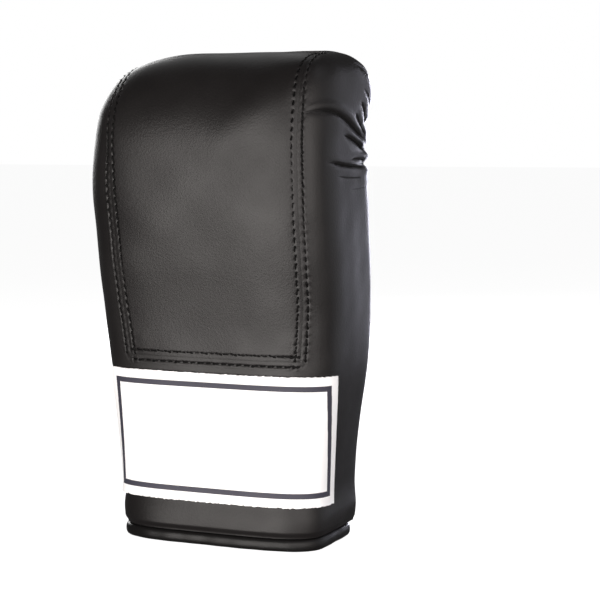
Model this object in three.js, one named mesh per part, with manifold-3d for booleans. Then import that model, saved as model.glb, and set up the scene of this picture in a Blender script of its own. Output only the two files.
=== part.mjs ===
// Bag glove: a padded mitt for punching a heavy bag, standing on its cuff.
// Millimetres, +Z up from the cuff to the knuckles, -Y towards the back of the hand,
// +Y towards the palm. The origin is under the middle of the glove, on the floor.
//
// The padded cover wraps the back, the sides and the finger roll. Its stations are rays:
// level rays up each side, then a fan of rays round the knuckles. Each station has one
// profile, from the middle of the back, round the side or the crest, to the palm seam.

import * as THREE from 'three';
import Module from 'manifold-3d';
import { mergeVertices } from 'three/addons/utils/BufferGeometryUtils.js';

const wasm = await Module();
wasm.setup();

// Whole glove
const GLOVE_LENGTH = 269;        // floor to crest
const HAND_WIDTH = 146;          // across the knuckles
const ROLL_DEPTH = 90;           // back of the hand to the front of the finger roll
const CREST_RISE = 66;           // crest above the centre of the knuckle fan
const HAND_LEAN = 12;            // how far the hand leans over the back of the cuff
const LEAN_FROM = 105;           // height where the lean begins
const LEAN_HEIGHT = 120;         // the lean is full this much higher
const SEWN_GAP = 0.3;            // between pieces that are sewn together

// Padded cover
const KNUCKLE_PAD = 24;          // padding over the back of the hand
const WIDEST_Y = -5;             // where a level section is widest
const PALM_FACE = 26;            // outer face of the palm leather at its seam
const SEAM_INSET = 5;            // palm seam inside the widest line
const SIDE_LIP = 1.2;            // how far the cover stands over the palm leather at a side
const SEAM_RISE = 30;            // palm seam above the centre of the knuckle fan
const LANDING = 2.5;             // ledge that the palm leather is sewn down on
const PLEATS = 20;               // gathers round the finger roll
const PLEAT_DEPTH = 1.5;

// Panel on the back, inside the double row of stitches
const PANEL_REACH_RIGHT = 58.5;  // from the middle of the back to the seam
const PANEL_REACH_LEFT = 51.5;
const PANEL_ABOVE_BADGE = 8;

// Palm leather
const LEATHER = 2;
const CUFF_CROWN = 5;            // how far the palm leather bows out at the cuff
const OPENING_ABOVE_BAND = 12;
const OPENING_BELOW_BAR = 13;
const OPENING_MARGIN = 2.8;      // between the opening's tape and the inside of the cover
const SLIT_NOTCH = 20;           // top of the slit above the lowest part of the opening
const SLIT_WIDTH = 3.2;
const SLIT_RISE = 18;            // the cuff's foot is this much higher at the slit

// Sewn-on pieces
const BINDING_WIDTH = 4.5;
const BINDING_THICKNESS = 1.2;
const LINING_THICKNESS = 1.2;
const LINING_MARGIN = 3.5;       // lining sewn behind the edge of the opening
const LINING_SAG = 7;
const BAR_HEIGHT = 22;
const BAR_BULGE = 8;
const BAR_END_GAP = 2;           // between the bar's end and the side seam
const BAND_ABOVE_HEM = 19;
const BAND_WIDTH = 48;
const BAND_THICKNESS = 1.6;
const BADGE_ABOVE_HEM = 17.5;
const BADGE_HEIGHT = 71.5;
const BADGE_THICKNESS = 1.2;
const HEM_HEIGHT = 7;
const HEM_THICKNESS = 6;
const HEM_INSET = 0.5;           // hem inside the outer face of the cuff

// Squareness of rounded outlines: 2 is an ellipse and more is squarer.
const KNUCKLE_CORNER_RIGHT = 7;
const KNUCKLE_CORNER_LEFT = 3.1;
const SEAM_CORNER = 5;
const SECTION_CORNER = 4;
const CREST_CORNER = 2.7;
const ROLL_CORNER = 2.4;
const HOLLOW_CORNER = 5;
const HEM_CORNER = 3.6;

// Shares
const BULGE_PLACE = 0.55;        // fullest part of the roll, on the way from the seam outwards
const OPENING_SHOULDER = 0.32;   // height where the opening is widest, on the way up it
const BADGE_REACH_RIGHT = 0.91;  // from the middle of the back to the widest line, at its foot
const BADGE_REACH_LEFT = 0.76;

// Fineness of the faceted solids
const PROFILE_POINTS = 17;
const HOLLOW_POINTS = 5;
const PROFILE_STEPS = 40;
const FOOT_STEPS = 10;
const HEM_STEPS = 22;
const PALM_GRID = { columns: 10, rows: 20 };
const LINING_GRID = { columns: 12, rows: 10 };
const BAND_GRID = { columns: 14, rows: 3 };
const BADGE_GRID = { columns: 28, rows: 4 };
const BAR_GRID = { columns: 12, rows: 8 };

const halfWidth = HAND_WIDTH / 2;
const halfDepth = ROLL_DEPTH / 2;
const fanHeight = GLOVE_LENGTH - CREST_RISE;
const coverFoot = HEM_HEIGHT + SEWN_GAP;
const bandFoot = HEM_HEIGHT + BAND_ABOVE_HEM;
const badgeFoot = HEM_HEIGHT + BADGE_ABOVE_HEM;
const panelFoot = badgeFoot + BADGE_HEIGHT + PANEL_ABOVE_BADGE;
const openingFoot = bandFoot + BAND_WIDTH + OPENING_ABOVE_BAND;
const openingTop = fanHeight - BAR_HEIGHT / 2 - OPENING_BELOW_BAR;
const through = 2 * ROLL_DEPTH;  // cutters run right through the glove

// Level sections. height is a share of the height of the fan's centre, width of half the
// hand width, front of half the roll depth, and pad of the knuckle pad.
const SECTIONS = [
  { height: 0.00, width: 0.825, front: 0.84, pad: 0.42 },
  { height: 0.05, width: 0.845, front: 0.85, pad: 0.42 },
  { height: 0.09, width: 0.850, front: 0.83, pad: 0.42 },
  { height: 0.16, width: 0.845, front: 0.81, pad: 0.44 },
  { height: 0.30, width: 0.880, front: 0.83, pad: 0.52 },
  { height: 0.50, width: 0.955, front: 0.90, pad: 0.80 },
  { height: 0.70, width: 0.990, front: 0.96, pad: 0.95 },
  { height: 0.88, width: 1.000, front: 1.00, pad: 1.00 },
  { height: 1.00, width: 1.000, front: 1.00, pad: 1.00 },
];

// Heights of the cover's level stations, as shares of the way to the centre of the fan.
const LEVELS = [
  0, 0.025, 0.065, 0.13, 0.20, 0.28, 0.36, 0.44, 0.51, 0.57, 0.63, 0.69, 0.75, 0.81, 0.87, 0.92, 0.96,
];

// Long folds at each end of the finger roll. They start on the back and turn down round
// the side. Angles are of the fan, reach is a share of the profile, depth of the pleats'.
const FOLDS = [
  { back: 47, side: 27, reach: 0.50, depth: 1.2, width: 3.5 },
  { back: 33, side: 18, reach: 0.58, depth: 1.7, width: 3.0 },
  { back: 19, side: 11, reach: 0.46, depth: 1.4, width: 3.0 },
  { back: 5, side: 3, reach: 0.54, depth: 1.6, width: 3.0 },
  { back: -7, side: -5, reach: 0.40, depth: 0.8, width: 3.0 },
];

function between(a, b, share) {
  return a + (b - a) * share;
}

function easeBetween(low, high, value) {
  const t = Math.min(1, Math.max(0, (value - low) / (high - low)));
  return t * t * (3 - 2 * t);
}

// Smooth value of one column of a table, at a place along another column.
function lookUp(rows, along, column, at) {
  const x = Math.min(Math.max(at, rows[0][along]), rows[rows.length - 1][along]);
  let i = 0;
  while (i < rows.length - 2 && x > rows[i + 1][along]) i += 1;
  const slope = (k) => {
    const a = rows[Math.max(0, k - 1)];
    const b = rows[Math.min(rows.length - 1, k + 1)];
    return (b[column] - a[column]) / (b[along] - a[along]);
  };
  const span = rows[i + 1][along] - rows[i][along];
  const t = (x - rows[i][along]) / span;
  const a = rows[i][column];
  const b = rows[i + 1][column];
  return a * (2 * t ** 3 - 3 * t ** 2 + 1) + span * slope(i) * (t ** 3 - 2 * t ** 2 + t)
    + b * (3 * t ** 2 - 2 * t ** 3) + span * slope(i + 1) * (t ** 3 - t ** 2);
}

// Distance to a rounded rectangle's edge from its centre, in a direction.
function squareRound(halfAcross, halfUp, power, angle) {
  const across = Math.abs(Math.cos(angle)) / halfAcross;
  const up = Math.abs(Math.sin(angle)) / halfUp;
  return (across ** power + up ** power) ** (-1 / power);
}

function sectionAt(z) {
  const share = z / fanHeight;
  const pad = KNUCKLE_PAD * lookUp(SECTIONS, 'height', 'pad', share);
  const half = halfWidth * lookUp(SECTIONS, 'height', 'width', share);
  return { half, front: -halfDepth * lookUp(SECTIONS, 'height', 'front', share), pad };
}

// All that a profile needs at one station: its outline, bulge and seam distances from the
// axis, and the depths of its front, bulge and inner face.
function levelStation(z) {
  const { half, front, pad } = sectionAt(z);
  const seam = half - SEAM_INSET;
  return {
    place: (out) => [out, z],
    angle: ((z - fanHeight) / half) * (180 / Math.PI),
    outline: half, bulge: between(seam, half, BULGE_PLACE), seam, front, pad,
    widest: WIDEST_Y, bulgeY: PALM_FACE + SIDE_LIP, corner: SECTION_CORNER,
  };
}

function fanStation(degrees, squareness) {
  const angle = THREE.MathUtils.degToRad(degrees);
  const { half, front, pad } = sectionAt(fanHeight);
  const outline = squareRound(half, CREST_RISE, squareness, angle);
  const seam = squareRound(half - SEAM_INSET, SEAM_RISE, SEAM_CORNER, angle);
  const fullGap = CREST_RISE - SEAM_RISE;
  const roll = easeBetween(SEAM_INSET, fullGap, outline - seam) ** 0.8;
  return {
    place: (out) => [out * Math.cos(angle), fanHeight + out * Math.sin(angle)],
    angle: degrees,
    outline,
    bulge: between(seam, outline, BULGE_PLACE),
    seam, front, pad,
    widest: between(WIDEST_Y, 0, roll),
    bulgeY: between(PALM_FACE + SIDE_LIP, halfDepth, roll),
    corner: between(SECTION_CORNER, CREST_CORNER, easeBetween(0, 70, degrees)),
  };
}

// The outer profile, in fine steps from the middle of the back to the palm seam: the back, the
// outer half of the roll, and its inner half down to the seam.
function outerProfile(station) {
  const { outline, bulge, seam, front, widest, bulgeY, corner } = station;
  const seamY = PALM_FACE + SIDE_LIP / 2;
  const back = quarter(outline, widest - front, corner).reverse();
  const outer = quarter(outline - bulge, bulgeY - widest, ROLL_CORNER).slice(1);
  const inner = quarter(bulge - seam, bulgeY - seamY, 2).reverse().slice(1);
  return [
    ...back.map(([out, y]) => [out, widest - y]),
    ...outer.map(([out, y]) => [bulge + out, widest + y]),
    ...inner.map(([out, y]) => [bulge - out, seamY + y]),
  ];
}

// A quarter of a rounded outline, from its end on the first axis to its end on the second.
function quarter(halfAcross, halfUp, power) {
  const points = [];
  for (let i = 0; i <= PROFILE_STEPS; i += 1) {
    const angle = (Math.PI / 2) * (i / PROFILE_STEPS);
    const r = squareRound(halfAcross, halfUp, power, angle);
    points.push([r * Math.cos(angle), r * Math.sin(angle)]);
  }
  return points;
}

// Points at even shares of a polyline's length.
function evenly(points, count) {
  const run = [0];
  for (let i = 1; i < points.length; i += 1) {
    run.push(run[i - 1] + Math.hypot(...points[i].map((v, k) => v - points[i - 1][k])));
  }
  const out = [];
  let j = 0;
  for (let i = 0; i < count; i += 1) {
    const at = (run[run.length - 1] * i) / (count - 1);
    while (j < run.length - 2 && run[j + 1] < at) j += 1;
    const t = (at - run[j]) / (run[j + 1] - run[j] || 1);
    out.push(points[j].map((v, k) => between(v, points[j + 1][k], t)));
  }
  return out;
}

// How deep the gathers and folds lie at a share of the profile, 0 on the back and 1 at the seam.
function gatherDepth(station, share) {
  const round = easeBetween(-16, -4, station.angle);
  let depth = PLEAT_DEPTH * round * easeBetween(0.74, 0.98, share) * station.pleat;
  for (const fold of FOLDS) {
    const along = (share - (1 - fold.reach)) / fold.reach;
    if (along > 0) {
      const centre = between(fold.back, fold.side, along);
      const off = (station.angle - centre) / fold.width;
      const swell = Math.sin(Math.PI * Math.min(1, along * 1.1)) ** 0.7;
      depth += PLEAT_DEPTH * fold.depth * swell * Math.exp(-off * off);
    }
  }
  return depth;
}

// One station's ring of 3-D points: outer profile, ledge for the palm leather, inner face.
function coverRing(station, mirror) {
  const outer = evenly(outerProfile(station), PROFILE_POINTS);
  const ring = outer.map(([out, y], i) => {
    const before = outer[Math.max(0, i - 1)];
    const after = outer[Math.min(outer.length - 1, i + 1)];
    const length = Math.hypot(after[0] - before[0], after[1] - before[1]);
    const depth = i === 0 ? 0 : gatherDepth(station, i / (outer.length - 1));
    const inwards = [before[1] - after[1], after[0] - before[0]];
    return [out + (depth * inwards[0]) / length, y + (depth * inwards[1]) / length];
  });
  const ledgeY = PALM_FACE - LEATHER - SEWN_GAP;
  const hollow = station.seam - LANDING;
  const innerY = station.front + station.pad;
  ring[ring.length - 1] = [station.seam, PALM_FACE + SIDE_LIP / 2];
  ring.push([station.seam, ledgeY]);
  for (let i = 0; i <= HOLLOW_POINTS; i += 1) {
    const angle = (Math.PI / 2) * (i / HOLLOW_POINTS);
    const r = squareRound(hollow, ledgeY - innerY, HOLLOW_CORNER, angle);
    ring.push([r * Math.cos(angle), ledgeY - r * Math.sin(angle)]);
  }
  return ring.map(([out, y], i) => {
    const onAxis = i === 0 || i === ring.length - 1;
    const [x, z] = station.place(onAxis ? 0 : out);
    return [mirror * x, y, z];
  });
}

// A closed solid from triangles, given as a flat list of corner coordinates.
function solidFrom(corners) {
  const loose = new THREE.BufferGeometry();
  loose.setAttribute('position', new THREE.Float32BufferAttribute(corners, 3));
  const merged = mergeVertices(loose, 1e-4);
  const index = [];
  for (let i = 0; i < merged.index.count; i += 3) {
    const [a, b, c] = [0, 1, 2].map((k) => merged.index.getX(i + k));
    if (a !== b && b !== c && c !== a) index.push(a, b, c);
  }
  return new wasm.Manifold(new wasm.Mesh({
    numProp: 3,
    vertProperties: new Float32Array(merged.attributes.position.array),
    triVerts: new Uint32Array(index),
  }));
}

function addQuad(corners, a, b, c, d) {
  corners.push(...a, ...b, ...c, ...a, ...c, ...d);
}

// Fills a flat ring, given flat for the triangulation and in 3-D for the corners. Its faces run
// the way round that the flat ring is seen anticlockwise, or clockwise where turned.
function addCap(corners, flat, ring, turned) {
  const faces = THREE.ShapeUtils.triangulateShape(flat.map(([x, y]) => new THREE.Vector2(x, y)), []);
  for (const face of faces) {
    const clockwise = THREE.ShapeUtils.area(face.map((k) => ({ x: flat[k][0], y: flat[k][1] }))) < 0;
    const order = turned === clockwise ? face : [...face].reverse();
    for (const k of order) corners.push(...ring[k]);
  }
}

// A closed solid through rings of equal count, with its two ends capped.
function loft(rings) {
  const corners = [];
  for (let i = 0; i < rings.length - 1; i += 1) {
    const count = rings[i].length;
    for (let j = 0; j < count; j += 1) {
      const k = (j + 1) % count;
      addQuad(corners, rings[i][j], rings[i + 1][j], rings[i + 1][k], rings[i][k]);
    }
  }
  for (const [ring, flip] of [[rings[0], false], [rings[rings.length - 1], true]]) {
    for (let j = 1; j < ring.length - 1; j += 1) {
      const triangle = flip ? [ring[0], ring[j + 1], ring[j]] : [ring[0], ring[j], ring[j + 1]];
      corners.push(...triangle.flat());
    }
  }
  const solid = solidFrom(corners);
  return solid.volume() < 0 ? solidFrom(turnedRound(corners)) : solid;
}

function turnedRound(corners) {
  const out = [];
  for (let i = 0; i < corners.length; i += 9) {
    out.push(...corners.slice(i, i + 3), ...corners.slice(i + 6, i + 9), ...corners.slice(i + 3, i + 6));
  }
  return out;
}

// A sheet with thickness: two faces over a grid of places, joined round the edge.
function sheet({ columns, rows }, outer, inner) {
  const corners = [];
  const face = (at, flip) => {
    for (let i = 0; i < columns; i += 1) {
      for (let j = 0; j < rows; j += 1) {
        const quad = [at(i, j), at(i + 1, j), at(i + 1, j + 1), at(i, j + 1)];
        addQuad(corners, ...(flip ? quad.reverse() : quad));
      }
    }
  };
  face((i, j) => outer(i / columns, j / rows), false);
  face((i, j) => inner(i / columns, j / rows), true);
  const edge = [];
  for (let i = 0; i < columns; i += 1) edge.push([i / columns, 0]);
  for (let j = 0; j < rows; j += 1) edge.push([1, j / rows]);
  for (let i = columns; i > 0; i -= 1) edge.push([i / columns, 1]);
  for (let j = rows; j > 0; j -= 1) edge.push([0, j / rows]);
  edge.forEach((here, k) => {
    const next = edge[(k + 1) % edge.length];
    addQuad(corners, outer(...next), outer(...here), inner(...here), inner(...next));
  });
  const solid = solidFrom(corners);
  return solid.volume() < 0 ? solidFrom(turnedRound(corners)) : solid;
}

// A prism through the glove, from an outline in X and Z.
function prism(outline, fromY, toY) {
  const corners = [];
  const near = outline.map(([x, z]) => [x, fromY, z]);
  const far = outline.map(([x, z]) => [x, toY, z]);
  outline.forEach((_, i) => {
    const k = (i + 1) % outline.length;
    addQuad(corners, near[i], near[k], far[k], far[i]);
  });
  addCap(corners, outline, near, true);
  addCap(corners, outline, far, false);
  const solid = solidFrom(corners);
  return solid.volume() < 0 ? solidFrom(turnedRound(corners)) : solid;
}

// An outline moved outwards by a distance, for an outline that runs anticlockwise.
function grown(outline, distance) {
  return outline.map((point, i) => {
    const before = outline[(i + outline.length - 1) % outline.length];
    const after = outline[(i + 1) % outline.length];
    const one = new THREE.Vector2(point[0] - before[0], point[1] - before[1]).normalize();
    const two = new THREE.Vector2(after[0] - point[0], after[1] - point[1]).normalize();
    const normal = new THREE.Vector2(one.y + two.y, -one.x - two.x).normalize();
    const stretch = distance / Math.max(0.5, normal.dot(new THREE.Vector2(one.y, -one.x)));
    return [point[0] + normal.x * stretch, point[1] + normal.y * stretch];
  });
}

function mirrored(points) {
  return points.map(([x, z]) => [-x, z]).reverse();
}

function bezier(points, count) {
  const curve = new THREE.CubicBezierCurve(...points.map(([x, z]) => new THREE.Vector2(x, z)));
  return curve.getPoints(count).map((p) => [p.x, p.y]);
}

// Stations of one half of the padded cover, from the cuff to the crest. pleat is how deep a
// gather lies there.
function halfStations(squareness) {
  const stations = LEVELS.map((share) => ({
    ...levelStation(between(coverFoot, fanHeight, share)), pleat: 0,
  }));
  const count = PLEATS * 3;
  for (let i = 0; i * 2 <= count; i += 1) {
    stations.push({ ...fanStation((180 * i) / count, squareness), pleat: [0, 1, 0.35][i % 3] });
  }
  return stations;
}

function coverRings() {
  const right = halfStations(KNUCKLE_CORNER_RIGHT).map((station) => coverRing(station, 1));
  const left = halfStations(KNUCKLE_CORNER_LEFT).map((station) => coverRing(station, -1));
  return [...right, ...left.reverse().slice(1)];
}

function coverSolid() {
  const rings = coverRings();
  const corners = [];
  for (let i = 0; i < rings.length - 1; i += 1) {
    for (let j = 0; j < rings[i].length - 1; j += 1) {
      addQuad(corners, rings[i][j], rings[i][j + 1], rings[i + 1][j + 1], rings[i + 1][j]);
    }
  }
  const [right, left] = [rings[0], rings[rings.length - 1]];
  addCap(corners, right.map(([x, y]) => [x, y]), right, true);
  addCap(corners, left.map(([x, y]) => [x, y]), left, true);
  const solid = solidFrom(corners);
  return solid.volume() < 0 ? solidFrom(turnedRound(corners)) : solid;
}

// The panel on the back, as an outline in X and Z. It is a little wider over the hand.
function panelOutline(clearance) {
  const side = (reach) => [
    [reach * 0.925, panelFoot],
    [reach * 0.975, between(panelFoot, fanHeight, 0.3)],
    [reach * 0.99, between(panelFoot, fanHeight, 0.65)],
    [reach, fanHeight],
    [reach, 2 * GLOVE_LENGTH],
  ];
  return grown([...side(PANEL_REACH_RIGHT), ...mirrored(side(PANEL_REACH_LEFT))], clearance);
}

// Outer face of the palm leather.
function palmY(x, z) {
  const { half } = sectionAt(Math.max(0, Math.min(z, fanHeight)));
  const across = x / (half - SEAM_INSET);
  const crown = CUFF_CROWN * (1 - easeBetween(bandFoot + BAND_WIDTH, openingTop, z));
  return PALM_FACE + crown * (1 - across * across);
}

// A sheet that follows the palm leather between two depths below its outer face.
function palmLayer(above, below) {
  const low = -SLIT_RISE;
  const high = fanHeight + SEAM_RISE + LANDING;
  const place = (u, v, off) => {
    const x = between(-halfWidth, halfWidth, u);
    const z = between(low, high, v);
    return [x, palmY(x, z) + off, z];
  };
  return sheet(PALM_GRID, (u, v) => place(u, v, above), (u, v) => place(u, v, -below));
}

// Palm leather's outline: up each side inside the seam, over the top, and round the cuff's corners.
function palmOutline(inset) {
  const stations = halfStations(KNUCKLE_CORNER_RIGHT).slice(1);
  const right = stations.map((station) => station.place(station.seam - inset));
  const foot = cuffFoot(SEWN_GAP * 3);
  return [...mirrored(foot), ...foot, ...right, ...mirrored(right).slice(1)];
}

// Lower edge of the palm leather at a distance across: level at the side seams, up to the slit.
function footHeight(x, seam) {
  const inwards = Math.max(0, 1 - Math.abs(x) / seam);
  return HEM_HEIGHT + SLIT_RISE * inwards ** 2.2;
}

// Lower edge of the palm leather on the right, from the slit to the side seam, lifted a little.
function cuffFoot(lift) {
  const seam = levelStation(coverFoot).seam;
  const points = [];
  for (let i = 0; i <= FOOT_STEPS; i += 1) {
    const x = between(SLIT_WIDTH / 2, seam - SEWN_GAP, i / FOOT_STEPS);
    points.push([x, footHeight(x, seam) + lift]);
  }
  return points;
}

// Half the opening's width, at the height where it is widest.
function openingHalfWidth() {
  const widest = between(openingFoot, openingTop, OPENING_SHOULDER);
  return levelStation(widest).seam - LANDING - OPENING_MARGIN - BINDING_WIDTH;
}

// The opening in the palm, anticlockwise, without the slit.
function openingOutline() {
  const half = openingHalfWidth();
  const at = (across, up) => [half * across, between(openingFoot, openingTop, up)];
  const slitTop = [SLIT_WIDTH / 2, openingFoot + SLIT_NOTCH];
  const right = [
    ...bezier([slitTop, at(0.28, 0.15), at(0.45, 0), at(0.70, 0)], 7),
    ...bezier([at(0.70, 0), at(0.90, 0), at(1, 0.14), at(1, OPENING_SHOULDER)], 7).slice(1),
    ...bezier([at(1, OPENING_SHOULDER), at(1, 0.70), at(0.88, 1), at(0.58, 1)], 9).slice(1),
  ];
  return [...right, ...mirrored(right)];
}

function slitOutline(clearance) {
  const half = SLIT_WIDTH / 2 + clearance;
  const top = openingFoot + SLIT_NOTCH + BINDING_WIDTH;
  return [[-half, -HEM_HEIGHT], [half, -HEM_HEIGHT], [half, top], [-half, top]];
}

const cover = coverSolid();
const centrePanel = cover.intersect(prism(panelOutline(0), -through, 0));
const surroundPanel = cover.subtract(prism(panelOutline(SEWN_GAP), -through, SEWN_GAP));

const opening = openingOutline();
const openingPrism = prism(opening, -through, through);
const slitPrism = prism(slitOutline(0), 0, through);
const palmPanel = palmLayer(0, LEATHER)
  .intersect(prism(palmOutline(SEWN_GAP), -through, through))
  .subtract(openingPrism)
  .subtract(slitPrism);

// Folded tape round the edge of the opening, with the palm leather's edge inside it.
const tapeOver = SEWN_GAP + BINDING_THICKNESS;
const tapeBlank = palmLayer(tapeOver, LEATHER + tapeOver)
  .intersect(prism(grown(opening, BINDING_WIDTH), -through, through))
  .subtract(prism(grown(opening, -tapeOver), -through, through));
const tapeSlot = palmLayer(SEWN_GAP, LEATHER + SEWN_GAP)
  .subtract(prism(grown(opening, -SEWN_GAP), -through, through));
const openingBinding = tapeBlank.subtract(tapeSlot).subtract(prism(slitOutline(SEWN_GAP), 0, through));

// Lining that shows through the opening, sewn behind its top and sides. Its lower edge is free.
function liningOutline() {
  const sewnFrom = between(openingFoot, openingTop, 0.24);
  const right = openingOutline().filter(([x, z]) => x > 0 && z > sewnFrom);
  const edge = grown([[0, openingFoot], ...right, [0, openingTop]], LINING_MARGIN).slice(1, -1);
  const half = openingHalfWidth() + LINING_MARGIN;
  const free = [
    [0, between(openingFoot, openingTop, 0.32)],
    [half * 0.76, between(openingFoot, openingTop, 0.07)],
    [half * 0.93, between(openingFoot, openingTop, 0.24)],
  ];
  return [...free, ...edge, ...mirrored([...free.slice(1), ...edge])];
}

function liningY(x, z) {
  const across = Math.min(1, Math.abs(x) / openingHalfWidth());
  const sag = LINING_SAG * (1 - across ** 2) * easeBetween(openingTop, openingFoot, z);
  return palmY(x, z) - LEATHER - tapeOver - SEWN_GAP - sag;
}

function liningLayer() {
  const reach = openingHalfWidth() + 2 * LINING_MARGIN;
  const place = (u, v, off) => {
    const x = between(-reach, reach, u);
    const z = between(openingFoot - LINING_MARGIN, openingTop + 2 * LINING_MARGIN, v);
    return [x, liningY(x, z) - off, z];
  };
  return sheet(LINING_GRID, (u, v) => place(u, v, 0), (u, v) => place(u, v, LINING_THICKNESS));
}
const palmLining = liningLayer().intersect(prism(liningOutline(), -through, through));

// Padded bar across the fingers, sewn onto the palm leather. It is a little lower at its ends.
function gripBar() {
  const half = levelStation(fanHeight).seam - BAR_END_GAP;
  const rings = [];
  for (let i = 0; i <= BAR_GRID.columns; i += 1) {
    const across = between(-1, 1, i / BAR_GRID.columns);
    const x = half * across;
    const bulge = BAR_BULGE * Math.sqrt(1 - 0.75 * across ** 6);
    const ring = [];
    for (let k = 0; k <= BAR_GRID.rows; k += 1) {
      const angle = (Math.PI * k) / BAR_GRID.rows;
      const z = fanHeight + (BAR_HEIGHT / 2) * Math.cos(angle);
      ring.push([x, palmY(x, z) + SEWN_GAP + bulge * Math.abs(Math.sin(angle)) ** 0.8, z]);
    }
    rings.push(ring);
  }
  return loft(rings);
}

// Elastic across the palm side of the cuff, over the slit.
function wristBand() {
  const place = (u, v, off) => {
    const z = between(bandFoot, bandFoot + BAND_WIDTH, v);
    const half = levelStation(z).seam - 2 * SEWN_GAP;
    const x = between(-half, half, u);
    return [x, palmY(x, z) + SEWN_GAP + off, z];
  };
  return sheet(BAND_GRID, (u, v) => place(u, v, BAND_THICKNESS), (u, v) => place(u, v, 0));
}

// The cuff's outer face at a height, in even steps from the middle of the back to the widest
// line, and the length of a step.
function cuffLine(z) {
  const { half, front } = sectionAt(z);
  const fine = quarter(half, WIDEST_Y - front, SECTION_CORNER).reverse();
  const points = evenly(fine.map(([x, y]) => [x, WIDEST_Y - y]), PROFILE_STEPS + 1);
  return { points, step: Math.hypot(points[1][0] - points[0][0], points[1][1] - points[0][1]) };
}

// A point of the cuff's outer face, at a distance along it from the middle of the back, moved
// outwards.
function cuffPoint(z, along, off) {
  const { points, step } = cuffLine(z);
  const at = Math.abs(along) / step;
  const i = Math.min(PROFILE_STEPS - 1, Math.floor(at));
  const [a, b] = [points[i], points[i + 1]];
  const length = Math.hypot(b[0] - a[0], b[1] - a[1]);
  const x = between(a[0], b[0], at - i) + (off * (b[1] - a[1])) / length;
  const y = between(a[1], b[1], at - i) - (off * (b[0] - a[0])) / length;
  return [(along < 0 ? -1 : 1) * x, y, z];
}

// Badge round the back of the cuff and past both its corners, cut as a rectangle.
function badge() {
  const toWidest = cuffLine(badgeFoot).step * PROFILE_STEPS;
  const place = (u, v, off) => {
    const z = between(badgeFoot, badgeFoot + BADGE_HEIGHT, v);
    return cuffPoint(z, toWidest * between(-BADGE_REACH_LEFT, BADGE_REACH_RIGHT, u), off);
  };
  const clear = 2 * SEWN_GAP;
  return sheet(BADGE_GRID, (u, v) => place(u, v, clear + BADGE_THICKNESS), (u, v) => place(u, v, clear));
}

// Rolled hem under the cuff, from one side of the slit right round to the other. It lies on the
// floor at the back and the sides, and rises with the palm leather.
function cuffHem() {
  const { half, front } = sectionAt(coverFoot);
  const seam = levelStation(coverFoot).seam;
  const inset = HEM_INSET + HEM_THICKNESS / 2;
  const across = half - inset;
  const start = Math.acos(((SLIT_WIDTH / 2 + SEWN_GAP) / across) ** (HEM_CORNER / 2));
  const right = [];
  for (let i = 0; i <= HEM_STEPS; i += 1) {
    const angle = between(start, -Math.PI / 2, i / HEM_STEPS);
    const onPalm = Math.max(0, Math.sin(angle));
    const x = across * Math.abs(Math.cos(angle)) ** (2 / HEM_CORNER);
    const deep = (onPalm > 0 ? palmY(x, coverFoot) - LEATHER / 2 : front + inset) - WIDEST_Y;
    right.push({
      x,
      y: WIDEST_Y + deep * Math.abs(Math.sin(angle)) ** (2 / HEM_CORNER),
      z: HEM_HEIGHT / 2 + (footHeight(x, seam) - HEM_HEIGHT) * Math.sqrt(onPalm),
    });
  }
  const left = right.slice(0, -1).reverse().map((place) => ({ ...place, x: -place.x }));
  const path = [...right, ...left];
  return loft(path.map((place, i) => hemSection(place, path[Math.max(0, i - 1)],
    path[Math.min(path.length - 1, i + 1)])));
}

// An upright section of the hem, with its corners cut off.
function hemSection(place, before, after) {
  const out = new THREE.Vector2(before.y - after.y, after.x - before.x).normalize();
  const [flat, side] = [0.6, 0.45];
  const outline = [
    [-flat, -1], [flat, -1], [1, -side], [1, side], [flat, 1], [-flat, 1], [-1, side], [-1, -side],
  ];
  return outline.map(([wide, up]) => [
    place.x + out.x * (HEM_THICKNESS / 2) * wide,
    place.y + out.y * (HEM_THICKNESS / 2) * wide,
    place.z + (HEM_HEIGHT / 2) * up,
  ]);
}

// The whole glove bends over its back, from the cuff to the knuckles.
function leanAt(z) {
  return HAND_LEAN * easeBetween(LEAN_FROM, LEAN_FROM + LEAN_HEIGHT, z);
}

function geometryOf(solid) {
  const { vertProperties, triVerts } = solid.getMesh();
  const geometry = new THREE.BufferGeometry();
  const places = new THREE.Float32BufferAttribute(vertProperties, 3);
  for (let i = 0; i < places.count; i += 1) {
    places.setY(i, places.getY(i) - leanAt(places.getZ(i)));
  }
  geometry.setAttribute('position', places);
  geometry.setIndex(new THREE.Uint32BufferAttribute(triVerts, 1));
  geometry.computeVertexNormals();
  return geometry;
}

const blackLeather = { color: 0x1c1b1b, roughness: 0.42, metalness: 0 };
const PIECES = [
  ['center_panel', centrePanel, blackLeather],
  ['surround_panel', surroundPanel, blackLeather],
  ['palm_panel', palmPanel, blackLeather],
  ['opening_binding', openingBinding, { color: 0x141414, roughness: 0.4, metalness: 0 }],
  ['palm_lining', palmLining, { color: 0x2c2c2b, roughness: 0.55, metalness: 0 }],
  ['grip_bar', gripBar(), blackLeather],
  ['wrist_band', wristBand(), { color: 0x0b0b0b, roughness: 0.9, metalness: 0 }],
  ['badge', badge(), { color: 0xf7f7f7, roughness: 0.5, metalness: 0 }],
  ['cuff_hem', cuffHem(), { color: 0x121212, roughness: 0.4, metalness: 0 }],
];

const glove = new THREE.Group();
glove.name = 'bag_glove';
for (const [name, solid, look] of PIECES) {
  const mesh = new THREE.Mesh(geometryOf(solid), new THREE.MeshStandardMaterial(look));
  mesh.name = name;
  glove.add(mesh);
}

const whole = new THREE.Box3().setFromObject(glove);
glove.position.set(0, -(whole.min.y + whole.max.y) / 2, -whole.min.z);

export default glove;
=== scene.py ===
"""Bag glove, dressed: padded leather, stitches, lining, elastic and badge, built round the frame.

Sizes are millimetres on the standing glove, and a mesh gets metres when it is made.
"""

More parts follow.
